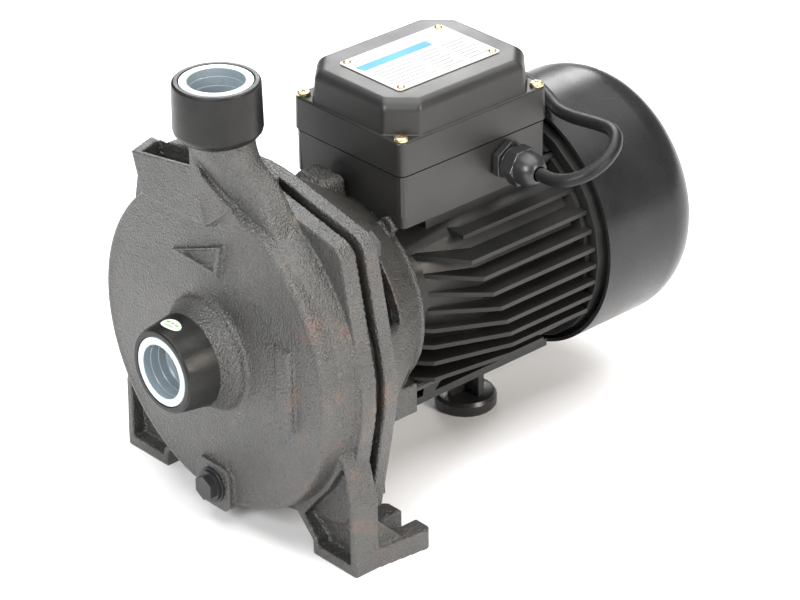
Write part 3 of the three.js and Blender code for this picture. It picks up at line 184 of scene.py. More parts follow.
def ramp(material, source, stops):
    """A colour ramp fed by a value; stops are (position, colour) pairs."""
    node = add_node(material, "ShaderNodeValToRGB")
    elements = node.color_ramp.elements
    while len(elements) < len(stops):
        elements.new(0.5)
    for element, (position, colour) in zip(elements, stops):
        element.position = position
        element.color = (*colour, 1.0) if len(colour) == 3 else colour
    material.node_tree.links.new(source, node.inputs["Fac"])
    return node


def vary_colour(material, colour, scale, spread=0.18):
    """Lets the colour drift lighter and darker by the given share."""
    shader = material.node_tree.nodes["Principled BSDF"]
    colours = ramp(material, noise(material, scale).outputs["Fac"], [
        (0.35, [channel * (1 - spread) for channel in colour]),
        (0.65, [channel * (1 + spread) for channel in colour]),
    ])
    material.node_tree.links.new(colours.outputs["Color"], shader.inputs["Base Color"])


def vary_roughness(material, scale, low, high, detail=3.0, stretch=None):
    shader = material.node_tree.nodes["Principled BSDF"]
    spread = add_node(material, "ShaderNodeMapRange")
    spread.inputs["From Min"].default_value = 0.3
    spread.inputs["From Max"].default_value = 0.7
    spread.inputs["To Min"].default_value = low
    spread.inputs["To Max"].default_value = high
    source = noise(material, scale, detail, stretch).outputs["Fac"]
    material.node_tree.links.new(source, spread.inputs["Value"])
    material.node_tree.links.new(spread.outputs["Result"], shader.inputs["Roughness"])


def add_bump(material, height, strength, distance, previous=None):
    bump = add_node(material, "ShaderNodeBump", Strength=strength, Distance=distance)
    material.node_tree.links.new(height, bump.inputs["Height"])
    if previous is not None:
        material.node_tree.links.new(previous.outputs["Normal"], bump.inputs["Normal"])
    shader = material.node_tree.nodes["Principled BSDF"]
    material.node_tree.links.new(bump.outputs["Normal"], shader.inputs["Normal"])
    return bump


def sand_cast_black():
    """Thick black paint over a sandy iron skin, with rusty brown speckle on the +X side that is
    partly a painted warm reflection.
    """
    material = new_material("cast_black", (0.03, 0.03, 0.028), 0.31, Specular_IOR_Level=0.85)
    links = material.node_tree.links
    paint = ramp(material, noise(material, 30, 4.0).outputs["Fac"], [
        (0.32, (0.023, 0.023, 0.021)),
        (0.68, (0.040, 0.039, 0.036)),
    ])
    rust_and_reflection_speckle = ramp(material, noise(material, 70, 6.0).outputs["Fac"], [
        (0.57, (0.0, 0.0, 0.0)),
        (0.74, (0.5, 0.5, 0.5)),
    ])
    place = add_node(material, "ShaderNodeTexCoord")
    split = add_node(material, "ShaderNodeSeparateXYZ")
    links.new(place.outputs["Object"], split.inputs["Vector"])
    # Painted warm reflection: the brown speckle is only let in on the +X side, where a warm object
    # is reflected.
    side = add_node(material, "ShaderNodeMapRange")
    side.inputs["From Min"].default_value = 0.022
    side.inputs["From Max"].default_value = 0.075
    links.new(split.outputs["X"], side.inputs["Value"])
    amount = add_node(material, "ShaderNodeMath", operation="MULTIPLY")
    links.new(rust_and_reflection_speckle.outputs["Color"], amount.inputs[0])
    links.new(side.outputs["Result"], amount.inputs[1])
    rust_and_reflection_mix = add_node(material, "ShaderNodeMix", data_type="RGBA")
    links.new(amount.outputs["Value"], rust_and_reflection_mix.inputs[0])
    links.new(paint.outputs["Color"], rust_and_reflection_mix.inputs[6])
    # Rusty brown, also standing for the painted warm reflection.
    rust_and_reflection_mix.inputs[7].default_value = (0.13, 0.058, 0.03, 1.0)
    shader = material.node_tree.nodes["Principled BSDF"]
    links.new(rust_and_reflection_mix.outputs[2], shader.inputs["Base Color"])
    vary_roughness(material, 120, 0.25, 0.37)
    coarse = add_bump(material, noise(material, 300, 2.0).outputs["Fac"], 0.3, 0.0010)
    add_bump(material, noise(material, 900, 2.0).outputs["Fac"], 0.9, 0.0013, coarse)
    return material


def machined_black():
    """Smoother black paint on the turned pipe bosses."""
    material = new_material("boss_black", (0.010, 0.010, 0.0097), 0.36, Specular_IOR_Level=0.25)
    vary_colour(material, (0.010, 0.010, 0.0097), 60, 0.25)
    vary_roughness(material, 150, 0.27, 0.40)
    fine = noise(material, 700, 2.0)
    add_bump(material, fine.outputs["Fac"], 0.22, 0.0004)
    return material


def satin_black_metal(name, colour, low, high, grain):
    material = new_material(name, colour, 0.4, Specular_IOR_Level=0.3)
    vary_colour(material, colour, 35)
    vary_roughness(material, 60, low, high)
    add_bump(material, noise(material, 900, 2.0).outputs["Fac"], grain, 0.0003)
    return material


def moulded_plastic(name, colour, low, high):
    """Injection-moulded plastic with a fine spark-eroded grain."""
    material = new_material(name, colour, 0.4)
    vary_colour(material, colour, 50, 0.08)
    vary_roughness(material, 45, low, high)
    texture = add_node(material, "ShaderNodeTexVoronoi", Scale=1500.0)
    place = add_node(material, "ShaderNodeTexCoord")
    material.node_tree.links.new(place.outputs["Object"], texture.inputs["Vector"])
    add_bump(material, texture.outputs["Distance"], 0.12, 0.00025)
    return material


def turned_metal(name, colour, low, high, metallic=1.0):
    material = new_material(name, colour, 0.3, metallic)
    vary_roughness(material, 250, low, high, stretch=(1, 6, 1))
    add_bump(material, noise(material, 900, 2.0, (1, 5, 1)).outputs["Fac"], 0.08, 0.0002)
    return material


def milky(name, transmission, colour):
    material = new_material(name, colour, 0.3, Transmission_Weight=transmission, IOR=1.45)
    material.node_tree.nodes["Principled BSDF"].inputs["Subsurface Weight"].default_value = 0.15
    vary_roughness(material, 90, 0.22, 0.38)
    return material


CAST = sand_cast_black()
BOSS = machined_black()
FRAME_BLACK = satin_black_metal("frame_black", (0.016, 0.016, 0.0155), 0.32, 0.46, 0.25)
COVER_BLACK = satin_black_metal("cover_black", (0.014, 0.014, 0.015), 0.24, 0.32, 0.06)
BOX_PLASTIC = moulded_plastic("box_plastic", (0.014, 0.0135, 0.013), 0.36, 0.46)
DARK_PLASTIC = moulded_plastic("dark_plastic", (0.018, 0.018, 0.019), 0.25, 0.36)
STEEL = turned_metal("steel", (0.62, 0.62, 0.64), 0.22, 0.36)
DARK_STEEL = turned_metal("dark_steel", (0.03, 0.03, 0.032), 0.3, 0.42, 0.3)
ZINC = turned_metal("zinc_yellow", (0.72, 0.58, 0.33), 0.22, 0.38)
YELLOW_METAL = turned_metal("yellow_metal", (0.78, 0.56, 0.28), 0.2, 0.34)
COPPER = turned_metal("copper_wire", (0.70, 0.33, 0.16), 0.3, 0.42)
PALE_METAL = turned_metal("pale_aluminium", (0.78, 0.78, 0.78), 0.28, 0.42)
PLATE_METAL = turned_metal("plate_aluminium", (0.46, 0.46, 0.43), 0.5, 0.62, 0.0)
# Painted shade: the cup is the rim's milky plastic made greyer for the shade in the recess and the
# dark casing behind its thin wall.
CAP_CUP_PAINTED_SHADE = milky("cap_cup_painted_shade", 0.2, (0.27, 0.31, 0.34))
CAP_RIM = milky("cap_rim", 0.1, (0.56, 0.60, 0.62))
RUBBER = satin_black_metal("rubber", (0.012, 0.012, 0.012), 0.6, 0.75, 0.3)
CORD_SKIN = satin_black_metal("cord_skin", (0.006, 0.006, 0.0063), 0.40, 0.52, 0.15)
CERAMIC = moulded_plastic("ceramic", (0.82, 0.80, 0.74), 0.2, 0.3)
GRAPHITE = moulded_plastic("graphite", (0.03, 0.03, 0.032), 0.35, 0.45)
PALE_PLASTIC = moulded_plastic("pale_plastic", (0.72, 0.70, 0.64), 0.35, 0.5)
BLUE_INK = moulded_plastic("blue_ink", (0.015, 0.20, 0.44), 0.45, 0.55)
GREY_INK = moulded_plastic("grey_ink", (0.16, 0.17, 0.18), 0.4, 0.5)
WHITE_STICKER = moulded_plastic("white_sticker", (0.80, 0.84, 0.74), 0.3, 0.4)
GREEN_INK = moulded_plastic("green_ink", (0.16, 0.42, 0.10), 0.3, 0.4)


# ---------- mesh helpers ----------
def new_object(name, mesh, material):
    piece = bpy.data.objects.new(name, mesh)
    bpy.context.scene.collection.objects.link(piece)
    if material is not None:
        mesh.materials.clear()
        mesh.materials.append(material)
    return piece


def finish_piece(piece, body, slot, *replaced):
    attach(piece, body)
    if replaced:
        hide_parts(*replaced)
    return piece


def from_bmesh(bm, name, material):
    bmesh.ops.recalc_face_normals(bm, faces=bm.faces)
    mesh = bpy.data.meshes.new(name)
    bm.to_mesh(mesh)
    bm.free()
    return new_object(name, mesh, material)


def loft(bm, rings):
    """Closed skin through rings of points that all have the same count."""
    loops = [[bm.verts.new(point) for point in ring] for ring in rings]
    count = len(loops[0])
    for low, high in zip(loops, loops[1:]):
        for k in range(count):
            following = (k + 1) % count
            bm.faces.new((low[k], low[following], high[following], high[k]))
    bm.faces.new(list(reversed(loops[0])))
    bm.faces.new(loops[-1])


def revolve(bm, profile, place, sides=96):
    """Turns a closed profile of (radius, distance) pairs; place(r cos, r sin, d) gives points."""
    rings = []
    for k in range(sides):
        angle = 2 * math.pi * k / sides
        cosine, sine = math.cos(angle), math.sin(angle)
        rings.append([bm.verts.new(place(r * cosine, r * sine, d)) for r, d in profile])
    count = len(profile)
    for k in range(sides):
        low, high = rings[k], rings[(k + 1) % sides]
        for i in range(count):
            following = (i + 1) % count
            bm.faces.new((low[i], low[following], high[following], high[i]))


def about_shaft(u, v, distance):
    return at(u, distance, SHAFT_HEIGHT + v)


def upright_at(x, y, z):
    return lambda u, v, distance: at(x + u, y + v, z + distance)


def across_at(x, y, z):
    return lambda u, v, distance: at(x + distance, y + u, z + v)


def prism(bm, outline, low, high):
    """Pushes an outline of (x, z) pairs along y from low to high."""
    loft(bm, [[at(x, y, z) for x, z in outline] for y in (low, high)])


def add_box(bm, x0, x1, y0, y1, z0, z1):
    ring = [(x0, y0), (x1, y0), (x1, y1), (x0, y1)]
    loft(bm, [[at(x, y, z) for x, y in ring] for z in (z0, z1)])


def baked(piece):
    """Applies every modifier to the mesh."""
    graph = bpy.context.evaluated_depsgraph_get()
    mesh = bpy.data.meshes.new_from_object(piece.evaluated_get(graph), depsgraph=graph)
    old = piece.data
    piece.modifiers.clear()
    piece.data = mesh
    bpy.data.meshes.remove(old)
    return piece


def round_edges(piece, width, segments=2, angle=30.0):
    """Rounds the sharp edges and shades the rest smooth."""
    piece.data.shade_smooth()
    piece.data.set_sharp_from_angle(angle=math.radians(angle))
    if width:
        bevel = piece.modifiers.new("bevel", "BEVEL")
        bevel.width = width * MM
        bevel.segments = segments
        bevel.limit_method = "ANGLE"
        bevel.angle_limit = math.radians(angle)
        bevel.use_clamp_overlap = True
    normals = piece.modifiers.new("normals", "WEIGHTED_NORMAL")
    normals.keep_sharp = True
    return baked(piece)


def cleaned_copy(node):
    """A bmesh of a CAD node with its flat faces whole again."""
    bm = bmesh.new()
    bm.from_mesh(nodes[node].data)
    bmesh.ops.remove_doubles(bm, verts=bm.verts, dist=2e-6)
    flat = math.radians(0.6)
    bmesh.ops.dissolve_limit(bm, angle_limit=flat, verts=bm.verts, edges=bm.edges)
    return bm


def finished(node, material, slot, width=0.4, segments=2, angle=30.0):
    """The CAD node's own shape with rounded edges, standing in for it."""
    body = nodes[node]["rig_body"]
    piece = from_bmesh(cleaned_copy(node), f"{node}_finish", material)
    round_edges(piece, width, segments, angle)
    return finish_piece(piece, body, slot, node)


def voxel_skin(piece, size, smoothing):
    """Melts overlapping solids into one skin with rounded edges and soft inner corners."""
    remesh = piece.modifiers.new("remesh", "REMESH")
    remesh.mode = "VOXEL"
    remesh.voxel_size = size * MM
    remesh.use_smooth_shade = True
    smooth = piece.modifiers.new("smooth", "SMOOTH")
    smooth.factor = 0.5
    smooth.iterations = smoothing
    return baked(piece)


# ---------- supply cord ----------
def cord_points():
    """The cord's centre line: gland, bend, over the fan cover, floor, coil and plug."""
    route = [
        (66.1, 154.5, 165.0),
        (77.4, 155.0, 165.4),
        (87.3, 159.5, 168.4),
        (92.8, 168.0, 173.0),
        (92.5, 178.5, 177.5),
        (87.0, 188.0, 180.0),
        (78.0, 194.5, 180.2),
        (67.0, 197.5, 178.6),
        (55.9, 197.8, 177.2),
        (44.8, 197.8, 176.0),
        (34.0, 200.0, 174.9),
        (24.0, 204.5, 174.2),
        (13.0, 209.5, 174.2),
        (0.0, 213.5, 174.5),
        (-20.0, 217.0, 171.8),
        (-40.0, 219.0, 163.0),
        (-58.0, 219.5, 147.2),
        (-70.0, 219.0, 126.4),
        (-75.2, 218.0, 104.0),
        (-76.5, 215.0, 84.0),
        (-77.5, 209.0, 58.0),
        (-79.5, 199.0, 33.0),
        (-79.0, 185.5, 14.0),
        (-75.5, 171.0, 5.4),
        (-70.5, 157.0, CORD_FLOOR + 0.1),
        (COIL_X + COIL_RADIUS, COIL_Y + 26, CORD_FLOOR),
    ]
    steps_per_turn = 18
    for k in range(int(COIL_TURNS * steps_per_turn) + 1):
        turns = k / steps_per_turn
        climb = min(1.0, max(0.0, (turns % 1.0 - 0.72) / 0.22))
        level = math.floor(turns + 1e-6) + climb * climb * (3 - 2 * climb) * (turns % 1.0 > 0.5)
        angle = -2 * math.pi * turns
        route.append((
            COIL_X + COIL_RADIUS * math.cos(angle),
            COIL_Y + COIL_RADIUS * math.sin(angle),
            CORD_FLOOR + COIL_RISE * level,
        ))
    tail_x = COIL_X - COIL_RADIUS
    top = CORD_FLOOR + COIL_RISE * 3
    for ahead, height in ((10, top), (16, top - 0.5), (24, 23.2), (31, 21.1), (36, 20.15)):
        route.append((tail_x, COIL_Y + ahead, height))
    route.append((tail_x, PLUG_START - 0.3, PLUG_RADIUS))
    return route


def make_cord():
    route = cord_points()
    curve = bpy.data.curves.new("supply_cord", "CURVE")
    curve.dimensions = "3D"
    curve.bevel_depth = CORD_RADIUS * MM
    curve.bevel_resolution = 4
    curve.resolution_u = 5
    curve.use_fill_caps = True
    spline = curve.splines.new("BEZIER")
    spline.bezier_points.add(len(route) - 1)
    for point, place in zip(spline.bezier_points, route):
        point.co = at(*place)
        point.handle_left_type = "AUTO"
        point.handle_right_type = "AUTO"
    curve.materials.append(CORD_SKIN)
    cord = bpy.data.objects.new("supply_cord", curve)
    bpy.context.scene.collection.objects.link(cord)
    finish_piece(
        cord, "pump_body", "cord_black", "supply_cord_lead", "supply_cord_coil", "supply_cord_tail"
    )


# ---------- cast casing ----------
def around(radius, degrees):
    """(x, z) at an angle about the shaft: 0 is +X and 90 is up."""
    angle = math.radians(degrees)
    return radius * math.cos(angle), SHAFT_HEIGHT + radius * math.sin(angle)


def hull(points):
    """Outer corner points of a set of points, in order."""
    points = sorted(set(points))

    def half(sequence):
        chain = []
        for p in sequence:
            while len(chain) > 1:
                a, b = chain[-2], chain[-1]
                if (b[0] - a[0]) * (p[1] - a[1]) - (b[1] - a[1]) * (p[0] - a[0]) > 1e-9:
                    break
                chain.pop()
            chain.append(p)
        return chain[:-1]

    return half(points) + half(reversed(points))


def flange_outline():
    """A disc stretched out to four bolt lobes."""
    points = [around(FLANGE_RADIUS, 3 * k) for k in range(120)]
    for lobe in LOBE_ANGLES:
        x, z = around(LOBE_CENTRE, lobe)
        for k in range(36):
            angle = math.radians(10 * k)
            points.append((x + LOBE_RADIUS * math.cos(angle), z + LOBE_RADIUS * math.sin(angle)))
    return hull(points)


def channel_stations():
    """Sections of the volute channel: x, z, half width, front, rear, lean and squareness."""
    stations = []
    for k in range(14):
        angle = CHANNEL_START + 10.9 * k
        growth = min(1.0, max(0.0, (angle - CHANNEL_START) / 90))
        swell = 2.5 * min(1.0, max(0.0, (angle - 35) / 27)) - 2 * (1 - growth)
        half_width = 7 + 5.5 * growth
        x, z = around(CHANNEL_RADIUS + swell - half_width, angle)
        front = -4.5 + 2 * (1 - growth)
        stations.append((x, z, half_width, front, 11, 4.5 * growth, 0.35))
    stations += [
        (26.5, 185.5, 13, -6, 11, 3, 0.5),
        (17, 195, 14, -9, 12, 1, 0.75),
        (10.5, 204, 15, -12, 13, 0, 1),
        (2, DISCHARGE_BOSS_BOTTOM + 1, 16.5, -17, 17, 0, 1),
        (0, DISCHARGE_BOSS_BOTTOM + 8, 17, -17, 17, 0, 1),
    ]
    return stations


def smooth_through(rows, steps):
    """Catmull-Rom rows through the given rows, each row a tuple of numbers."""
    result = []
    last = len(rows) - 1
    for i in range(last):
        a, b, c, d = rows[max(i - 1, 0)], rows[i], rows[i + 1], rows[min(i + 2, last)]
        for k in range(steps):
            t = k / steps
            result.append(tuple(
                0.5 * (
                    2 * q
                    + (r - p) * t
                    + (2 * p - 5 * q + 4 * r - s) * t * t
                    + (3 * q - p - 3 * r + s) * t ** 3
                )
                for p, q, r, s in zip(a, b, c, d)
            ))
    result.append(rows[last])
    return result


def channel_rings(sides=32):
    """Rings of the volute channel, which grows round the wheel and runs up into the neck."""
    stations = smooth_through(channel_stations(), 4)
    rings = []
    for i, (x, z, half_width, front, rear, lean, power) in enumerate(stations):
        before, after = stations[max(i - 1, 0)], stations[min(i + 1, len(stations) - 1)]
        across = Vector((after[1] - before[1], before[0] - after[0])).normalized()
        half_depth = (rear - front) / 2
        ring = []
        for k in range(sides):
            turn = 2 * math.pi * k / sides
            reach = math.copysign(abs(math.cos(turn)) ** power, math.cos(turn))
            depth = math.copysign(abs(math.sin(turn)) ** power, math.sin(turn))
            out = half_width * reach
            if reach > 0:
                out += lean * (1 + depth) / 2
            y = front + half_depth * (1 + depth)
            ring.append(at(x + across[0] * out, y, z + across[1] * out))
        rings.append(ring)
    return rings


def make_casing():
    """The casting: the CAD solid melted together with rounder versions of its turned shapes."""
    bm = cleaned_copy("pump_casing")
    face = [
        (CASING_RADIUS - 0.4, CASING_FLANGE[0] + 1),
        (CASING_RADIUS - 2.2, -4.8),
        (CASING_RADIUS - 2.3, -6.4),
        (CASING_RADIUS - 2.9, -8.2),
        (CASING_RADIUS - 4.0, -9.4),
        (CASING_RADIUS - 5.5, CASING_FACE - 0.4),
        (CASING_RADIUS - 7.5, CASING_FACE - 0.1),
        (60, CASING_FACE - 1.5),
        (32.6, CASING_FACE - 2.6),
        (30.6, -13.0),
        (29.6, -15.8),
        (28.2, -17.4),
        (26.2, -21),
        (24.8, -25.5),
        (20, -25.5),
        (20, -10),
        (81, -6.5),
        (83, CASING_FLANGE[0] + 1),
    ]
    revolve(bm, face, about_shaft, 144)
    loft(bm, channel_rings())
    prism(bm, flange_outline(), CASING_FLANGE[0], CASING_FLANGE[1])
    piece = from_bmesh(bm, "casing_casting", CAST)
    voxel_skin(piece, 0.75, 1)
    clear_bores(piece)
    finish_piece(piece, "pump_body", "cast_iron", "pump_casing")


def clear_bores(piece):
    """Moves the casting's skin back behind the crisp skins of the two pipe bosses."""
    axis = at(0, 0, 0).y
    for vertex in piece.data.vertices:
        x, y, z = vertex.co
        if z > (DISCHARGE_BOSS_BOTTOM + 5) * MM:
            centre, offset = Vector((0, axis, z)), Vector((x, y - axis, 0))
        elif y < axis + (SUCTION_FACE + 17) * MM:
            centre, offset = Vector((0, y, SHAFT_HEIGHT * MM)), Vector((x, 0, z - SHAFT_HEIGHT * MM))
        else:
            continue
        if offset.length > 1e-5:
            reach = min(20.5 * MM, max(19.3 * MM, offset.length))
            vertex.co = centre + offset * (reach / offset.length)
    top = (DISCHARGE_TOP - 2) * MM
    mouth = axis + (SUCTION_FACE + 2) * MM
    for vertex in piece.data.vertices:
        vertex.co.z = min(vertex.co.z, top)
        vertex.co.y = max(vertex.co.y, mouth)


def make_bosses():
    """The two turned pipe bosses, each a crisp skin over the casting."""
    length = DISCHARGE_TOP - DISCHARGE_BOSS_BOTTOM
    radius = DISCHARGE_BOSS_RADIUS
    seat = CAP_RIM_RADIUS + 0.3
    profile = [
        (16.6, 1.2),
        (18.4, 0),
        (20.2, 1.3),
        (radius, 3.6),
        (radius + 0.5, 5.5),
        (radius + 0.1, length - 1.6),
        (radius - 0.3, length - 0.5),
        (radius - 1.1, length),
        (seat + 0.3, length),
        (seat, length - 0.3),
        (seat, length - CAP_SEAT_DEPTH),
        (PORT_BORE, length - CAP_SEAT_DEPTH),
        (PORT_BORE, 6),
    ]
    bm = bmesh.new()
    revolve(bm, profile, upright_at(0, 0, DISCHARGE_BOSS_BOTTOM))
    piece = from_bmesh(bm, "discharge_boss", BOSS)
    round_edges(piece, 0.2)
    finish_piece(piece, "pump_body", "cast_iron")
    radius = SUCTION_BOSS_RADIUS
    profile = [
        (radius + 2.5, -25.0),
        (radius + 1.9, -28.5),
        (radius + 0.15, SUCTION_FACE + 1.6),
        (radius - 0.3, SUCTION_FACE + 0.5),
        (radius - 1.1, SUCTION_FACE),
        (seat + 0.3, SUCTION_FACE),
        (seat, SUCTION_FACE + 0.3),
        (seat, SUCTION_FACE + CAP_SEAT_DEPTH),
        (PORT_BORE, SUCTION_FACE + CAP_SEAT_DEPTH),
        (PORT_BORE, -24),
    ]
    bm = bmesh.new()
    revolve(bm, profile, about_shaft)
    piece = from_bmesh(bm, "suction_boss", BOSS)
    round_edges(piece, 0.2)
    finish_piece(piece, "pump_body", "cast_iron")


def make_arrow():
    """The raised triangle on the casing face, a crisp bevelled ridge over the casting."""
    corners = [Vector((-25.5, 148.2)), Vector((14.0, 163.8)), Vector((10.5, 145.4))]
    centre = (corners[0] + corners[1] + corners[2]) / 3
    bm = bmesh.new()
    heights = ((0.0, CASING_FACE + 1), (0.0, CASING_FACE - 2.6), (0.7, CASING_FACE - 3.6))
    outer_rings = []
    inner_rings = []
    for inset, y in heights:
        for rings, gap in ((outer_rings, inset), (inner_rings, 4.7 - inset)):
            ring = []
            for corner in corners:
                arm = corner - centre
                place = centre + arm * ((arm.length - gap) / arm.length)
                ring.append(bm.verts.new(at(place.x, y, place.y)))
            rings.append(ring)
    for rings in (outer_rings, inner_rings):
        for low, high in zip(rings, rings[1:]):
            for k in range(3):
                bm.faces.new((low[k], low[(k + 1) % 3], high[(k + 1) % 3], high[k]))
    for outer, inner in ((outer_rings[0], inner_rings[0]), (outer_rings[-1], inner_rings[-1])):
        for k in range(3):
            bm.faces.new((outer[k], outer[(k + 1) % 3], inner[(k + 1) % 3], inner[k]))
    piece = from_bmesh(bm, "arrow_ridge", CAST)
    round_edges(piece, 0.45, 3, 20)
    finish_piece(piece, "pump_body", "cast_iron")


def make_pads():
    """The raised bar right of the suction boss and the pad round the drain plug."""
    bm = bmesh.new()
    rings = []
    for inset, y in ((0, -2), (0, CASING_FACE - 2.4), (1.6, CASING_FACE - 4.0)):
        x0, x1, z0, z1 = 51.4 + inset, 64.6 - inset, 78.4 + inset, 124.1 - inset
        rings.append([at(x, y, z) for x, z in ((x0, z0), (x1, z0), (x1, z1), (x0, z1))])
    loft(bm, rings)
    piece = from_bmesh(bm, "raised_bar", CAST)
    round_edges(piece, 0.9, 3, 20)
    finish_piece(piece, "pump_body", "cast_iron")
    bm = bmesh.new()
    octagon = ((-13, -9), (-9, -13), (9, -13), (13, -9), (13, 9), (9, 13), (-9, 13), (-13, 9))
    rings = []
    for share, y in ((1.0, -5.6), (1.0, CASING_FACE - 3.2), (0.93, CASING_FACE - 4.05)):
        rings.append([at(share * x, y, 22 + share * z) for x, z in octagon])
    loft(bm, rings)
    piece = from_bmesh(bm, "drain_pad", CAST)
    round_edges(piece, 0.5, 2, 20)
    finish_piece(piece, "pump_body", "cast_iron")


def make_bracket():
    bm = cleaned_copy("motor_bracket")
    prism(bm, flange_outline(), BRACKET_FLANGE[0], BRACKET_FLANGE[1])
    piece = from_bmesh(bm, "bracket_casting", CAST)
    voxel_skin(piece, 0.75, 3)
    finish_piece(piece, "pump_body", "cast_iron", "motor_bracket")


# ---------- port caps ----------
def make_cap(name, body, place):
    """Milky push-in plug: a white rim round a cup of the same plastic painted greyer as shade, with
    steps and a ring inside.
    """
    outer, inner, depth = PORT_BORE - 0.3, CAP_HOLLOW, CAP_DEPTH
    rim = [
        (outer, 0.9),
        (CAP_RIM_RADIUS - 0.2, 0.9),
        (CAP_RIM_RADIUS, 0.7),
        (CAP_RIM_RADIUS - 0.1, 0.25),
        (CAP_RIM_RADIUS - 0.4, 0.1),
        (inner + 0.5, 0.1),
        (inner + 0.1, 0.4),
    ]
    cup = [
        (inner, 1.6),
        (inner, 4.6),
        (inner - 0.3, 4.9),
        (inner - 0.3, 9.4),
        (inner - 0.6, 9.7),
        (inner - 0.6, depth - 1.8),
        (inner - 1.3, depth - 1),
        (9.6, depth - 1),
        (9.4, depth - 2.2),
        (8.4, depth - 2.2),
        (8.2, depth - 1),
        (0.01, depth - 1),
        (0.01, depth),
        (outer - 0.8, depth),
        (outer, depth - 0.8),
    ]
    bm = bmesh.new()
    revolve(bm, rim + cup, place)
    bmesh.ops.remove_doubles(bm, verts=bm.verts, dist=3e-5)
    piece = from_bmesh(bm, f"{name}_finish", CAP_CUP_PAINTED_SHADE)
    piece.data.materials.append(CAP_RIM)
    mouth = place(0, 0, 0)
    inward = (place(0, 0, 1) - mouth).normalized()
    # The faces at the mouth take the white rim; the rest keeps the cup's painted shade.
    for face in piece.data.polygons:
        if (face.center - mouth).dot(inward) < 1.0 * MM:
            face.material_index = 1
    round_edges(piece, 0, 1, 40)
    finish_piece(piece, body, "milky_plastic", name)


def into_suction_port(u, v, depth):
    return at(u, SUCTION_FACE + depth, SHAFT_HEIGHT + v)


def into_discharge_port(u, v, depth):
    return at(u, v, DISCHARGE_TOP - depth)


# ---------- fan cover ----------
def make_fan_cover():
    rear = COVER_REAR
    outside = [(COVER_RADIUS, COVER_FRONT), (COVER_RADIUS, 250)]
    for k in range(1, 9):
        angle = math.radians(90 * k / 8)
        shrink = 17.5 * (1 - math.cos(angle))
        outside.append((COVER_RADIUS - shrink, 250 + (rear - 250) * math.sin(angle)))
    inside = [(r - COVER_WALL * 0.9, y - COVER_WALL * 0.6) for r, y in reversed(outside[1:])]
    inside.append((COVER_RADIUS - COVER_WALL, COVER_FRONT))
    profile = outside + [(0.01, rear), (0.01, rear - COVER_WALL)] + inside
    bm = bmesh.new()
    revolve(bm, profile, about_shaft, 128)
    bmesh.ops.remove_doubles(bm, verts=bm.verts, dist=3e-5)
    piece = from_bmesh(bm, "fan_cover_shell", COVER_BLACK)
    slots = bmesh.new()
    for k in range(-3, 4):
        rise = 12 * k
        z = SHAFT_HEIGHT + rise
        half = math.sqrt(48 ** 2 - rise ** 2)
        for x0, x1 in ((-half, -2.5), (2.5, half)):
            add_box(slots, x0, x1, rear - 6, rear + 1, z - 2.4, z + 2.4)
    cutter = from_bmesh(slots, "slot_cutter", None)
    boolean = piece.modifiers.new("slots", "BOOLEAN")
    boolean.object = cutter
    boolean.solver = "EXACT"
    baked(piece)
    bpy.data.objects.remove(cutter)
    round_edges(piece, 0.35, 2, 35)
    finish_piece(piece, "pump_body", "satin_aluminium", "fan_cover")


# ---------- terminal box details ----------
def rounded_rectangle(inset, radius, z, points=12):
    """Ring of the box's outline with round corners; a negative inset goes outwards."""
    x, y0, y1 = BOX_HALF_WIDTH - inset, BOX_FRONT + inset, BOX_REAR - inset
    corners = ((x, y1, 0), (-x, y1, 90), (-x, y0, 180), (x, y0, 270))
    ring = []
    for cx, cy, start in corners:
        centre_x = cx - math.copysign(radius, cx)
        centre_y = cy - (radius if cy == y1 else -radius)
        for k in range(points):
            angle = math.radians(start + 90 * k / (points - 1))
            spot = (centre_x + radius * math.cos(angle), centre_y + radius * math.sin(angle))
            ring.append(at(*spot, z))
    return ring


def cut_corner_ring(inset, cut_off, radius, z, points=12):
    """The same outline with its corners cut off and both ends of each cut rounded."""
    x, y0, y1 = BOX_HALF_WIDTH - 0.8 - inset, BOX_FRONT + 0.8 + inset, BOX_REAR - 0.8 - inset
    corners = ((x, y1, 0), (-x, y1, 90), (-x, y0, 180), (x, y0, 270))
    half = points // 2
    setback = cut_off + radius * math.tan(math.radians(22.5))
    ring = []
    for cx, cy, start in corners:
        sx = math.copysign(1, cx)
        sy = 1 if cy == y1 else -1
        beside = (cx - sx * radius, cy - sy * setback)
        above = (cx - sx * setback, cy - sy * radius)
        centres = (beside, above) if start in (0, 180) else (above, beside)
        for turn, centre in zip((0, 45), centres):
            for k in range(half):
                angle = math.radians(start + turn + 45 * k / (half - 1))
                spot = (centre[0] + radius * math.cos(angle), centre[1] + radius * math.sin(angle))
                ring.append(at(*spot, z))
    return ring


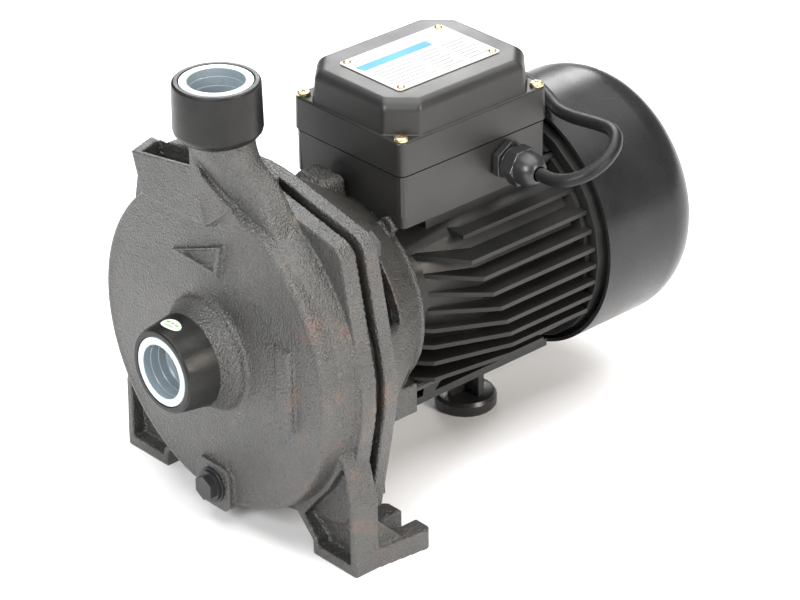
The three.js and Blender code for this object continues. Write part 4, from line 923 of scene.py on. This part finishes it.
def make_lid():
    """Screwed lid: a skirt with a ledge and a raised middle with a soft round top edge."""
    rings = [
        rounded_rectangle(-0.5, 4.4, LID_BOTTOM),
        rounded_rectangle(-0.8, 4.6, LID_BOTTOM + 0.4),
        rounded_rectangle(-0.5, 4.4, LID_LEDGE - 1.2),
        rounded_rectangle(-0.2, 4.2, LID_LEDGE - 0.4),
        rounded_rectangle(0.4, 3.8, LID_LEDGE),
        cut_corner_ring(-0.3, 13.0, 3.5, LID_LEDGE + 0.05),
        cut_corner_ring(0.2, 13.2, 3.5, LID_LEDGE + 0.7),
        cut_corner_ring(0.8, 13.2, 3.8, LID_TOP - 6.5),
    ]
    for k in range(1, 9):
        angle = math.radians(90 * k / 8)
        inwards = 5.2 * (1 - math.cos(angle))
        height = LID_TOP - 6.5 * (1 - math.sin(angle))
        rings.append(cut_corner_ring(0.8 + inwards, 13.2 - 0.26 * inwards, 4.0, height))
    room = [
        cut_corner_ring(6.6, 11.6, 3, LID_TOP - 2.6),
        cut_corner_ring(3.6, 12.6, 3, LID_TOP - 7),
        cut_corner_ring(3.0, 12.6, 3, LID_BOTTOM),
    ]
    bm = bmesh.new()
    loops = [[bm.verts.new(point) for point in ring] for ring in room + rings]
    count = len(loops[0])
    for low, high in zip(loops, loops[1:]):
        for k in range(count):
            following = (k + 1) % count
            bm.faces.new((low[k], low[following], high[following], high[k]))
    bm.faces.new(loops[0])
    bm.faces.new(loops[-1])
    piece = from_bmesh(bm, "terminal_box_lid_finish", BOX_PLASTIC)
    round_edges(piece, 0, 1, 50)
    finish_piece(piece, "pump_body", "black_plastic", "terminal_box_lid")


def make_lid_screw(i, x, y):
    """Pan-head screw with a cross recess."""
    top = 197.2
    profile = [
        (0.01, top),
        (3.6, top),
        (3.6, top + 0.8),
        (3.3, top + 1.5),
        (2.4, top + 1.9),
        (0.01, top + 2.0),
    ]
    bm = bmesh.new()
    revolve(bm, profile, upright_at(x, y, 0), 32)
    bmesh.ops.remove_doubles(bm, verts=bm.verts, dist=3e-5)
    piece = from_bmesh(bm, f"lid_screw_head_{i}", ZINC)
    cross = bmesh.new()
    add_box(cross, x - 2.1, x + 2.1, y - 0.45, y + 0.45, top + 0.9, top + 4)
    add_box(cross, x - 0.45, x + 0.45, y - 2.1, y + 2.1, top + 0.8, top + 4)
    cutter = from_bmesh(cross, "cross_cutter", None)
    boolean = piece.modifiers.new("cross", "BOOLEAN")
    boolean.object = cutter
    boolean.solver = "EXACT"
    boolean.use_self = True
    baked(piece)
    bpy.data.objects.remove(cutter)
    round_edges(piece, 0.08, 1, 35)
    finish_piece(piece, "pump_body", "zinc_yellow", f"lid_screw_{i}")


def make_nameplate():
    finished("nameplate", PLATE_METAL, "pale_aluminium", 0.15)
    top = LID_TOP + 0.62
    bm = bmesh.new()
    band = [(-12.6, 100), (-6.4, 101), (-6.4, 148), (-12.6, 148)]
    loft(bm, [[at(x, y, z) for x, y in band] for z in (top, top + 0.08)])
    finish_piece(from_bmesh(bm, "plate_band", BLUE_INK), "pump_body", "pale_aluminium")
    bm = bmesh.new()
    for row in range(7):
        x = -2.5 + 3.4 * row
        for start, end in ((102, 128), (131, 147), (150, 164)):
            add_box(bm, x, x + 0.9, start, end - 2 * (row % 3), top, top + 0.06)
    finish_piece(from_bmesh(bm, "plate_rules", GREY_INK), "pump_body", "pale_aluminium")


def make_rivet(i, x, y):
    profile = [(0.01, 0.75), (2.1, 0.75), (2.05, 1.05), (1.6, 1.4), (0.9, 1.62), (0.01, 1.7)]
    bm = bmesh.new()
    revolve(bm, profile, upright_at(x, y, LID_TOP), 24)
    bmesh.ops.remove_doubles(bm, verts=bm.verts, dist=3e-5)
    piece = from_bmesh(bm, f"rivet_head_{i}", YELLOW_METAL)
    piece.data.shade_smooth()
    finish_piece(piece, "pump_body", "yellow_metal", f"nameplate_rivet_{i}")


def make_gland_nut():
    """Hexagonal nut running into a dome that closes on the cord."""
    place = across_at(BOX_HALF_WIDTH, GLAND_Y, GLAND_Z)
    profile = [
        (5.0, 6.5),
        (9.2, 6.5),
        (9.4, 14.0),
        (9.1, 16.2),
        (8.9, 18.6),
        (8.2, 21.0),
        (7.0, 23.0),
        (5.6, 24.3),
        (4.6, 24.8),
        (4.2, 24.8),
        (4.2, 20.0),
        (5.0, 18.0),
    ]
    bm = bmesh.new()
    revolve(bm, profile, place, 64)
    piece = from_bmesh(bm, "gland_dome", DARK_PLASTIC)
    round_edges(piece, 0, 1, 40)
    finish_piece(piece, "pump_body", "black_plastic", "cable_gland_nut")
    bm = bmesh.new()
    rings = []
    for radius, distance in ((10.1, 6.9), (10.9, 7.5), (10.9, 14.2), (10.0, 15.0)):
        ring = []
        for k in range(6):
            angle = math.radians(60 * k)
            ring.append(place(radius * math.cos(angle), radius * math.sin(angle), distance))
        rings.append(ring)
    loft(bm, rings)
    piece = from_bmesh(bm, "gland_hexagon", DARK_PLASTIC)
    round_edges(piece, 0.35, 2, 20)
    finish_piece(piece, "pump_body", "black_plastic")


def boss_patch(name, material, low, high, lift, oval):
    """Thin patch on top of the suction boss; low and high are corners in a -1 to 1 frame."""
    bm = bmesh.new()
    steps = 20
    columns = []
    for i in range(steps + 1):
        u = low[0] + (high[0] - low[0]) * i / steps
        reach = math.sqrt(max(0.0, 1 - u * u)) if oval else 1.0
        column = []
        for j in range(7):
            v = (low[1] + (high[1] - low[1]) * j / 6) * reach
            angle = math.radians(92 - 17 * u)
            y = -34.6 + 3.6 * v
            radius = SUCTION_BOSS_RADIUS + 0.25 + (y - SUCTION_FACE) * 0.125 + lift
            spot = (radius * math.cos(angle), radius * math.sin(angle))
            column.append(bm.verts.new(about_shaft(*spot, y)))
        columns.append(column)
    for left, right in zip(columns, columns[1:]):
        for j in range(6):
            bm.faces.new((left[j], right[j], right[j + 1], left[j + 1]))
    bmesh.ops.remove_doubles(bm, verts=bm.verts, dist=1e-6)
    piece = from_bmesh(bm, name, material)
    thick = piece.modifiers.new("thick", "SOLIDIFY")
    thick.thickness = 0.05 * MM
    baked(piece)
    finish_piece(piece, "pump_body", "cast_iron")


def make_sticker():
    """Plain oval sticker with a few green bars in place of lettering."""
    boss_patch("sticker", WHITE_STICKER, (-1, -1), (1, 1), 0.1, True)
    bars = (
        ((-0.62, 0.05), (-0.20, 0.42)),
        ((-0.10, 0.05), (0.22, 0.42)),
        ((0.32, 0.05), (0.66, 0.42)),
        ((-0.40, -0.55), (0.46, -0.30)),
    )
    for i, (low, high) in enumerate(bars, 1):
        boss_patch(f"sticker_bar_{i}", GREEN_INK, low, high, 0.16, False)


# ---------- studio ----------
def area_light(name, place, target, size, power, colour=(1, 1, 1)):
    data = bpy.data.lights.new(name, "AREA")
    data.shape = "RECTANGLE"
    data.size, data.size_y = size
    data.energy = power
    data.color = colour
    lamp = bpy.data.objects.new(name, data)
    lamp.location = place
    lamp.rotation_euler = (Vector(target) - Vector(place)).to_track_quat("-Z", "Y").to_euler()
    bpy.context.scene.collection.objects.link(lamp)


def make_studio():
    scene = bpy.context.scene
    scene.view_settings.view_transform = "Standard"
    world = bpy.data.worlds.new("studio")
    world.use_nodes = True
    world.node_tree.nodes["Background"].inputs["Color"].default_value = (1.0, 1.0, 1.0, 1.0)
    world.node_tree.nodes["Background"].inputs["Strength"].default_value = 0.2
    scene.world = world
    bpy.ops.mesh.primitive_plane_add(size=30)
    floor = bpy.context.object
    floor.name = "floor"
    paint = new_material("floor_paint", (0.93, 0.93, 0.93), 0.7)
    floor.data.materials.append(paint)
    area_light("key", (0.6, -1.8, 1.2), (0, -0.05, 0.1), (0.9, 0.9), 44)
    area_light("overhead", (0.0, 0.3, 2.6), (0, 0.1, 0), (3.4, 3.4), 165)
    area_light("side", (1.9, 0.3, 0.9), (0, 0, 0.12), (0.6, 1.0), 32, (1.0, 0.92, 0.84))
    area_light("rear_left", (-1.65, 1.45, 1.2), (0, 0, 0.2), (1.0, 0.8), 22)


# ---------- all pieces ----------
plug = finished("mains_plug", DARK_PLASTIC, "cord_black", 0.8, 3)
make_cord()
make_casing()
make_bosses()
make_bracket()
make_arrow()
make_pads()
make_cap("suction_port_cap", "suction_cap", into_suction_port)
make_cap("discharge_port_cap", "discharge_cap", into_discharge_port)
make_fan_cover()
make_nameplate()
make_gland_nut()
make_sticker()

make_lid()
for i, (x, y) in enumerate(LID_SCREWS, 1):
    make_lid_screw(i, x, y)
for i, (x, y) in enumerate(PLATE_RIVETS, 1):
    make_rivet(i, x, y)

finished("motor_frame", FRAME_BLACK, "satin_aluminium", 0.5)
finished("terminal_box_base", BOX_PLASTIC, "black_plastic", 0.7, 3)
finished("terminal_box_gasket", RUBBER, "black_rubber", 0)
finished("cable_gland_body", DARK_PLASTIC, "black_plastic", 0.4)
finished("drain_plug", DARK_STEEL, "dark_steel", 0.9, 3)
finished("drain_plug_washer", DARK_STEEL, "dark_steel", 0.2)
finished("motor_support_foot", DARK_PLASTIC, "black_plastic", 0.6, 3)
finished("support_foot_screw", ZINC, "zinc_yellow", 0.3)
finished("rear_end_shield", FRAME_BLACK, "pale_aluminium", 0.4)
finished("water_slinger", RUBBER, "black_rubber", 0.3)
finished("cooling_fan", DARK_PLASTIC, "black_plastic", 0.3)
for i in (1, 2):
    finished(f"cover_screw_{i}", DARK_STEEL, "dark_steel", 0.4)
for i in range(1, 5):
    finished(f"casing_bolt_{i}", DARK_STEEL, "dark_steel", 0.5)
    finished(f"tie_rod_{i}", DARK_STEEL, "dark_steel", 0.3)

INNER = {
    "casing_gasket": RUBBER,
    "motor_shaft": STEEL,
    "impeller_key": STEEL,
    "impeller": YELLOW_METAL,
    "impeller_nut": STEEL,
    "seal_seat": CERAMIC,
    "seal_rotating_head": GRAPHITE,
    "seal_spring": STEEL,
    "front_bearing": STEEL,
    "rear_bearing": STEEL,
    "rotor_core": PALE_METAL,
    "stator_core": STEEL,
    "winding_front": COPPER,
    "winding_rear": COPPER,
    "bearing_wave_washer": STEEL,
    "fan_clip": STEEL,
    "terminal_block": PALE_PLASTIC,
    "run_capacitor": PALE_PLASTIC,
}
for node, material in INNER.items():
    nodes[node].data.materials.clear()
    nodes[node].data.materials.append(material)

make_studio()
